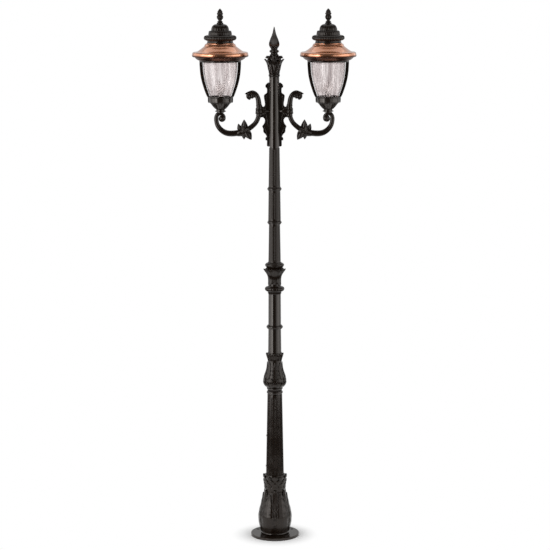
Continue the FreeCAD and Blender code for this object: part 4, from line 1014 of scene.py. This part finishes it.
def spear():
    foot = turned("spearFoot", spearLook["outline"], sides=spearLook["sides"])
    groove(foot, spearLook["sides"], **spearLook["groove"])
    firstAngle, lastAngle = spearLook["bladeSmoothBelow"]
    blade = turned("spearBlade", spearLook["blade"], sides=spearLook["bladeSides"], smoothBelow=firstAngle)
    groove(blade, spearLook["bladeSides"], **spearLook["bladeGroove"])
    return joined("spear", [foot, smoothed(blade, lastAngle)])


casting(dressed("base", baseLook), "base_casting")
casting(dressed("bulb", bulbLook), "bulb_casting")
casting(dressed("vase", vaseLook), "vase_casting")
casting(capital(), "column_capital")
casting(spear(), "spear_finial")

# Arms and brackets, modelled on the right and mirrored for the left.
armLook = {
    "branch": [  # x, height and radius along the middle line
        (92, 2690, 14), (92, 2668, 16), (92, 2648, 16), (95, 2628, 14.5), (101, 2606, 14.2),
        (114, 2583, 14.4), (136, 2562, 15), (168, 2541, 16.5), (204, 2527, 18), (251, 2519, 18.4),
        (293, 2522, 17.6), (326, 2543, 16), (346, 2571, 14.5), (352, 2597, 13.5), (353, 2618, 13),
        (347, 2634, 12.5), (336, 2642, 12), (322, 2640, 11), (309, 2632, 10), (303, 2619, 9.2),
        (305, 2605, 8.6), (316, 2597, 8), (328, 2600, 7.5), (333, 2610, 7), (329, 2619, 6.4),
        (321, 2620, 5.6), (318, 2614, 4)],
    "scroll": [
        (92, 2640, 14), (92, 2660, 17), (93, 2690, 17), (95, 2712, 16), (98, 2732, 15), (106, 2751, 14.5),
        (119, 2764, 14.5), (135, 2769, 14.5), (151, 2763, 13.5), (160, 2750, 12), (158, 2738, 10.5),
        (150, 2731, 8), (146, 2730, 6)],
    "neck": [
        (30, 2655, 9.5), (36, 2655, 11), (44, 2655, 14.5), (54, 2655, 17), (66, 2655, 19), (78, 2655, 18),
        (92, 2655, 16)],
    "eyes": [  # x, height, radius, half depth
        (95, 2655, 19, 20), (72, 2655, 22, 19), (60, 2669, 13, 15), (61, 2642, 14, 15), (80, 2676, 13, 17),
        (80, 2635, 13, 17), (104, 2668, 10, 13), (105, 2645, 10, 13), (316, 2612, 21, 17),
        (315, 2612, 13, 20.5), (131, 2750, 14, 12), (145, 2745, 14, 13.5), (151, 2733, 9, 15),
        (133, 2739, 8, 11), (122, 2745, 8, 10)],
    "scrollTip": (146, 2768, 104),  # root and degrees from upright
    "scrollTipSize": (34, 10),
    "eyeSides": (24, 14),
    "turnedSides": 32,
    "knuckle": [
        (13, 2620), (17, 2622.5), (19, 2627), (19, 2633), (16.8, 2637), (16.8, 2641), (19.8, 2645),
        (20.4, 2651), (19.6, 2656.5), (17, 2660), (17, 2664.5), (19.4, 2668.5), (19.6, 2674), (17, 2678.5),
        (17.4, 2683), (19, 2687), (18.6, 2692), (15.6, 2697), (13, 2699)],
    "sleeve": [(11, -38), (17, -37), (21, -29), (25, -14), (26, 0), (24.5, 14), (22, 28), (19.6, 38),
               (17, 46), (11, 47)],
    "sleevePlace": (184, 2531),
    "sleeveTurn": 104,  # degrees from upright, along the branch
}
petalLook = {
    "columns": 6,
    # share of the length, share of the half width
    "shape": [(0, 0.9), (0.14, 1), (0.3, 0.98), (0.46, 0.87), (0.62, 0.69), (0.78, 0.46), (0.92, 0.21),
              (1, 0.06)],
    "wall": 8,
    "rib": 5,  # how far the middle line stands out
    "ribEnd": 0.95,  # share of the length where it ends
    "near": 0.5,  # how near a point is to the row's height that it belongs to
    "middleHalf": 0.05,
    "smoothBelow": 60,
    # root x and height, length, half width, degrees from upright, depth
    "petals": [
        (181, 2538, 67, 24, 2, 0),
        (207, 2540, 42, 16, 17, 0),
        (168, 2528, 54, 24, 212, 0),
        (159, 2522, 44, 15, 205, 0),
        (186, 2522, 38, 15, 183, 0),
        (160, 2545, 30, 16, 305, 0),
    ],
    "front": 21,  # how far in front of the middle they root
    # on the front and back of the sleeve: root x and height, length, half width, degrees, lift
    "fronts": [
        (200, 2528, 56, 15, -66, 12),
        (188, 2530, 46, 14, 8, 9),
        (176, 2532, 46, 15, 208, 10),
    ],
}
bracketLook = {
    "thick": 7.5,  # half thickness of the plate
    "round": 2.5,
    "panel": 3,  # depth of the panel inside the rim
    "panelEdge": 0.6,
    "veinStretch": 7.5 / 3.5,  # lifts the veins off the panel on both faces
    "veins": [  # x, height and radius of the ribs on the panel
        [(36, 2446, 2.5), (38, 2480, 3), (42, 2510, 3.4), (52, 2540, 3.6), (62, 2562, 2.6)],
        [(36, 2560, 2.4), (42, 2600, 3.4), (50, 2640, 4), (52, 2690, 4), (50, 2730, 3.2), (46, 2752, 2.2)],
        [(38, 2770, 2.2), (39, 2792, 3), (44, 2806, 2.6)],
    ],
    "outline": [  # x and height
        (26, 2440), (38, 2441), (45, 2444), (45.5, 2452), (45, 2466), (45, 2478), (50, 2483),
        (54.5, 2487.5), (54, 2494), (47, 2499), (47, 2504), (53, 2515), (60, 2522), (66, 2528), (68, 2536),
        (67, 2548), (73, 2560), (73.5, 2566), (66, 2574), (59.5, 2586), (56.5, 2600), (60, 2611),
        (69, 2620), (80, 2618), (90, 2614), (90, 2695), (80, 2688), (71, 2683), (64, 2682), (57.5, 2691),
        (57, 2704), (60, 2720), (62.5, 2738), (64, 2750), (58, 2758), (48, 2763.5), (44.5, 2769),
        (44, 2782), (44.5, 2794), (52, 2800), (55, 2806), (52.5, 2815), (45, 2823), (38, 2829), (26, 2830)],
}


# a pointed leaf with a raised middle rib on both sides, bent forwards by lift at its tip
def petal(name, length, halfWidth, lift=0.0):
    rows = [(share * length, width * halfWidth) for share, width in petalLook["shape"]]
    leaf = bladeGrid(name, rows, petalLook["columns"])
    for height, width in rows:
        step = lift * (height / length) ** 2
        shiftPart(leaf, (0, -step * mm, 0), lambda vertex: abs(vertex.co.z / mm - height) < petalLook["near"])
    applyModifier(leaf, "SOLIDIFY", {"thickness": petalLook["wall"] * mm, "offset": 0})
    for side in (-1, 1):
        shiftPart(leaf, (0, side * petalLook["rib"] * mm, 0), lambda vertex: (
            abs(vertex.co.x / mm) < petalLook["middleHalf"]
            and petalLook["near"] < vertex.co.z / mm < petalLook["ribEnd"] * length
            and side * (vertex.co.y / mm + lift * (vertex.co.z / mm / length) ** 2) > 0))
    subdivided(leaf, 2)
    return smoothed(leaf, petalLook["smoothBelow"])


# turns a part in the plane of the arms and sets its root in place
def setLeaf(leaf, x, height, degrees, depth=0.0):
    pickAll(leaf)
    bpy.ops.transform.rotate(value=-math.radians(degrees), orient_axis="Y", center_override=(0, 0, 0))
    bpy.ops.transform.translate(value=(x * mm, depth * mm, height * mm))
    bpy.ops.object.mode_set(mode="OBJECT")
    return leaf


def arm():
    parts = [bar("armBranch", armLook["branch"]), bar("armScroll", armLook["scroll"]),
             bar("armNeck", armLook["neck"])]
    for x, height, radius, depth in armLook["eyes"]:
        parts.append(ball("armEye", radius, (x * mm, 0, height * mm), (math.radians(90), 0, 0),
                          (1, 1, depth / radius), *armLook["eyeSides"]))
    parts.append(setLeaf(petal("scrollTip", *armLook["scrollTipSize"]), *armLook["scrollTip"]))
    root = (armLook["branch"][0][0] * mm, 0)
    parts.append(turned("armKnuckle", armLook["knuckle"], root, armLook["turnedSides"], smoothBelow=50))
    sleeve = turned("leafSleeve", armLook["sleeve"], (0, 0), armLook["turnedSides"], smoothBelow=60)
    parts.append(setLeaf(sleeve, *armLook["sleevePlace"], armLook["sleeveTurn"]))
    for x, height, length, halfWidth, degrees, depth in petalLook["petals"]:
        parts.append(setLeaf(petal("armLeaf", length, halfWidth), x, height, degrees, depth))
    for x, height, length, halfWidth, degrees, lift in petalLook["fronts"]:
        for face in (1, -1):
            leaf = petal("armLeaf", length, halfWidth, lift * face)
            parts.append(setLeaf(leaf, x, height, degrees, -petalLook["front"] * face))
    return joined("arm", parts)


def bracket():
    outline = bracketLook["outline"]
    thick = bracketLook["thick"]
    parts = [outlined("bracketRim", outline, thick, bracketLook["round"], False),
             outlined("bracketPlate", outline, thick - bracketLook["panel"], bracketLook["panelEdge"])]
    for line in bracketLook["veins"]:
        vein = bar("bracketVein", line)
        pickAll(vein)
        bpy.ops.transform.resize(value=(1, bracketLook["veinStretch"], 1), center_override=(0, 0, 0))
        bpy.ops.object.mode_set(mode="OBJECT")
        parts.append(vein)
    return joined("bracket", parts)


pair(arm(), "castPaint", "root", "dark_paint", "arm")
pair(bracket(), "castPaint", "root", "dark_paint", "bracket")
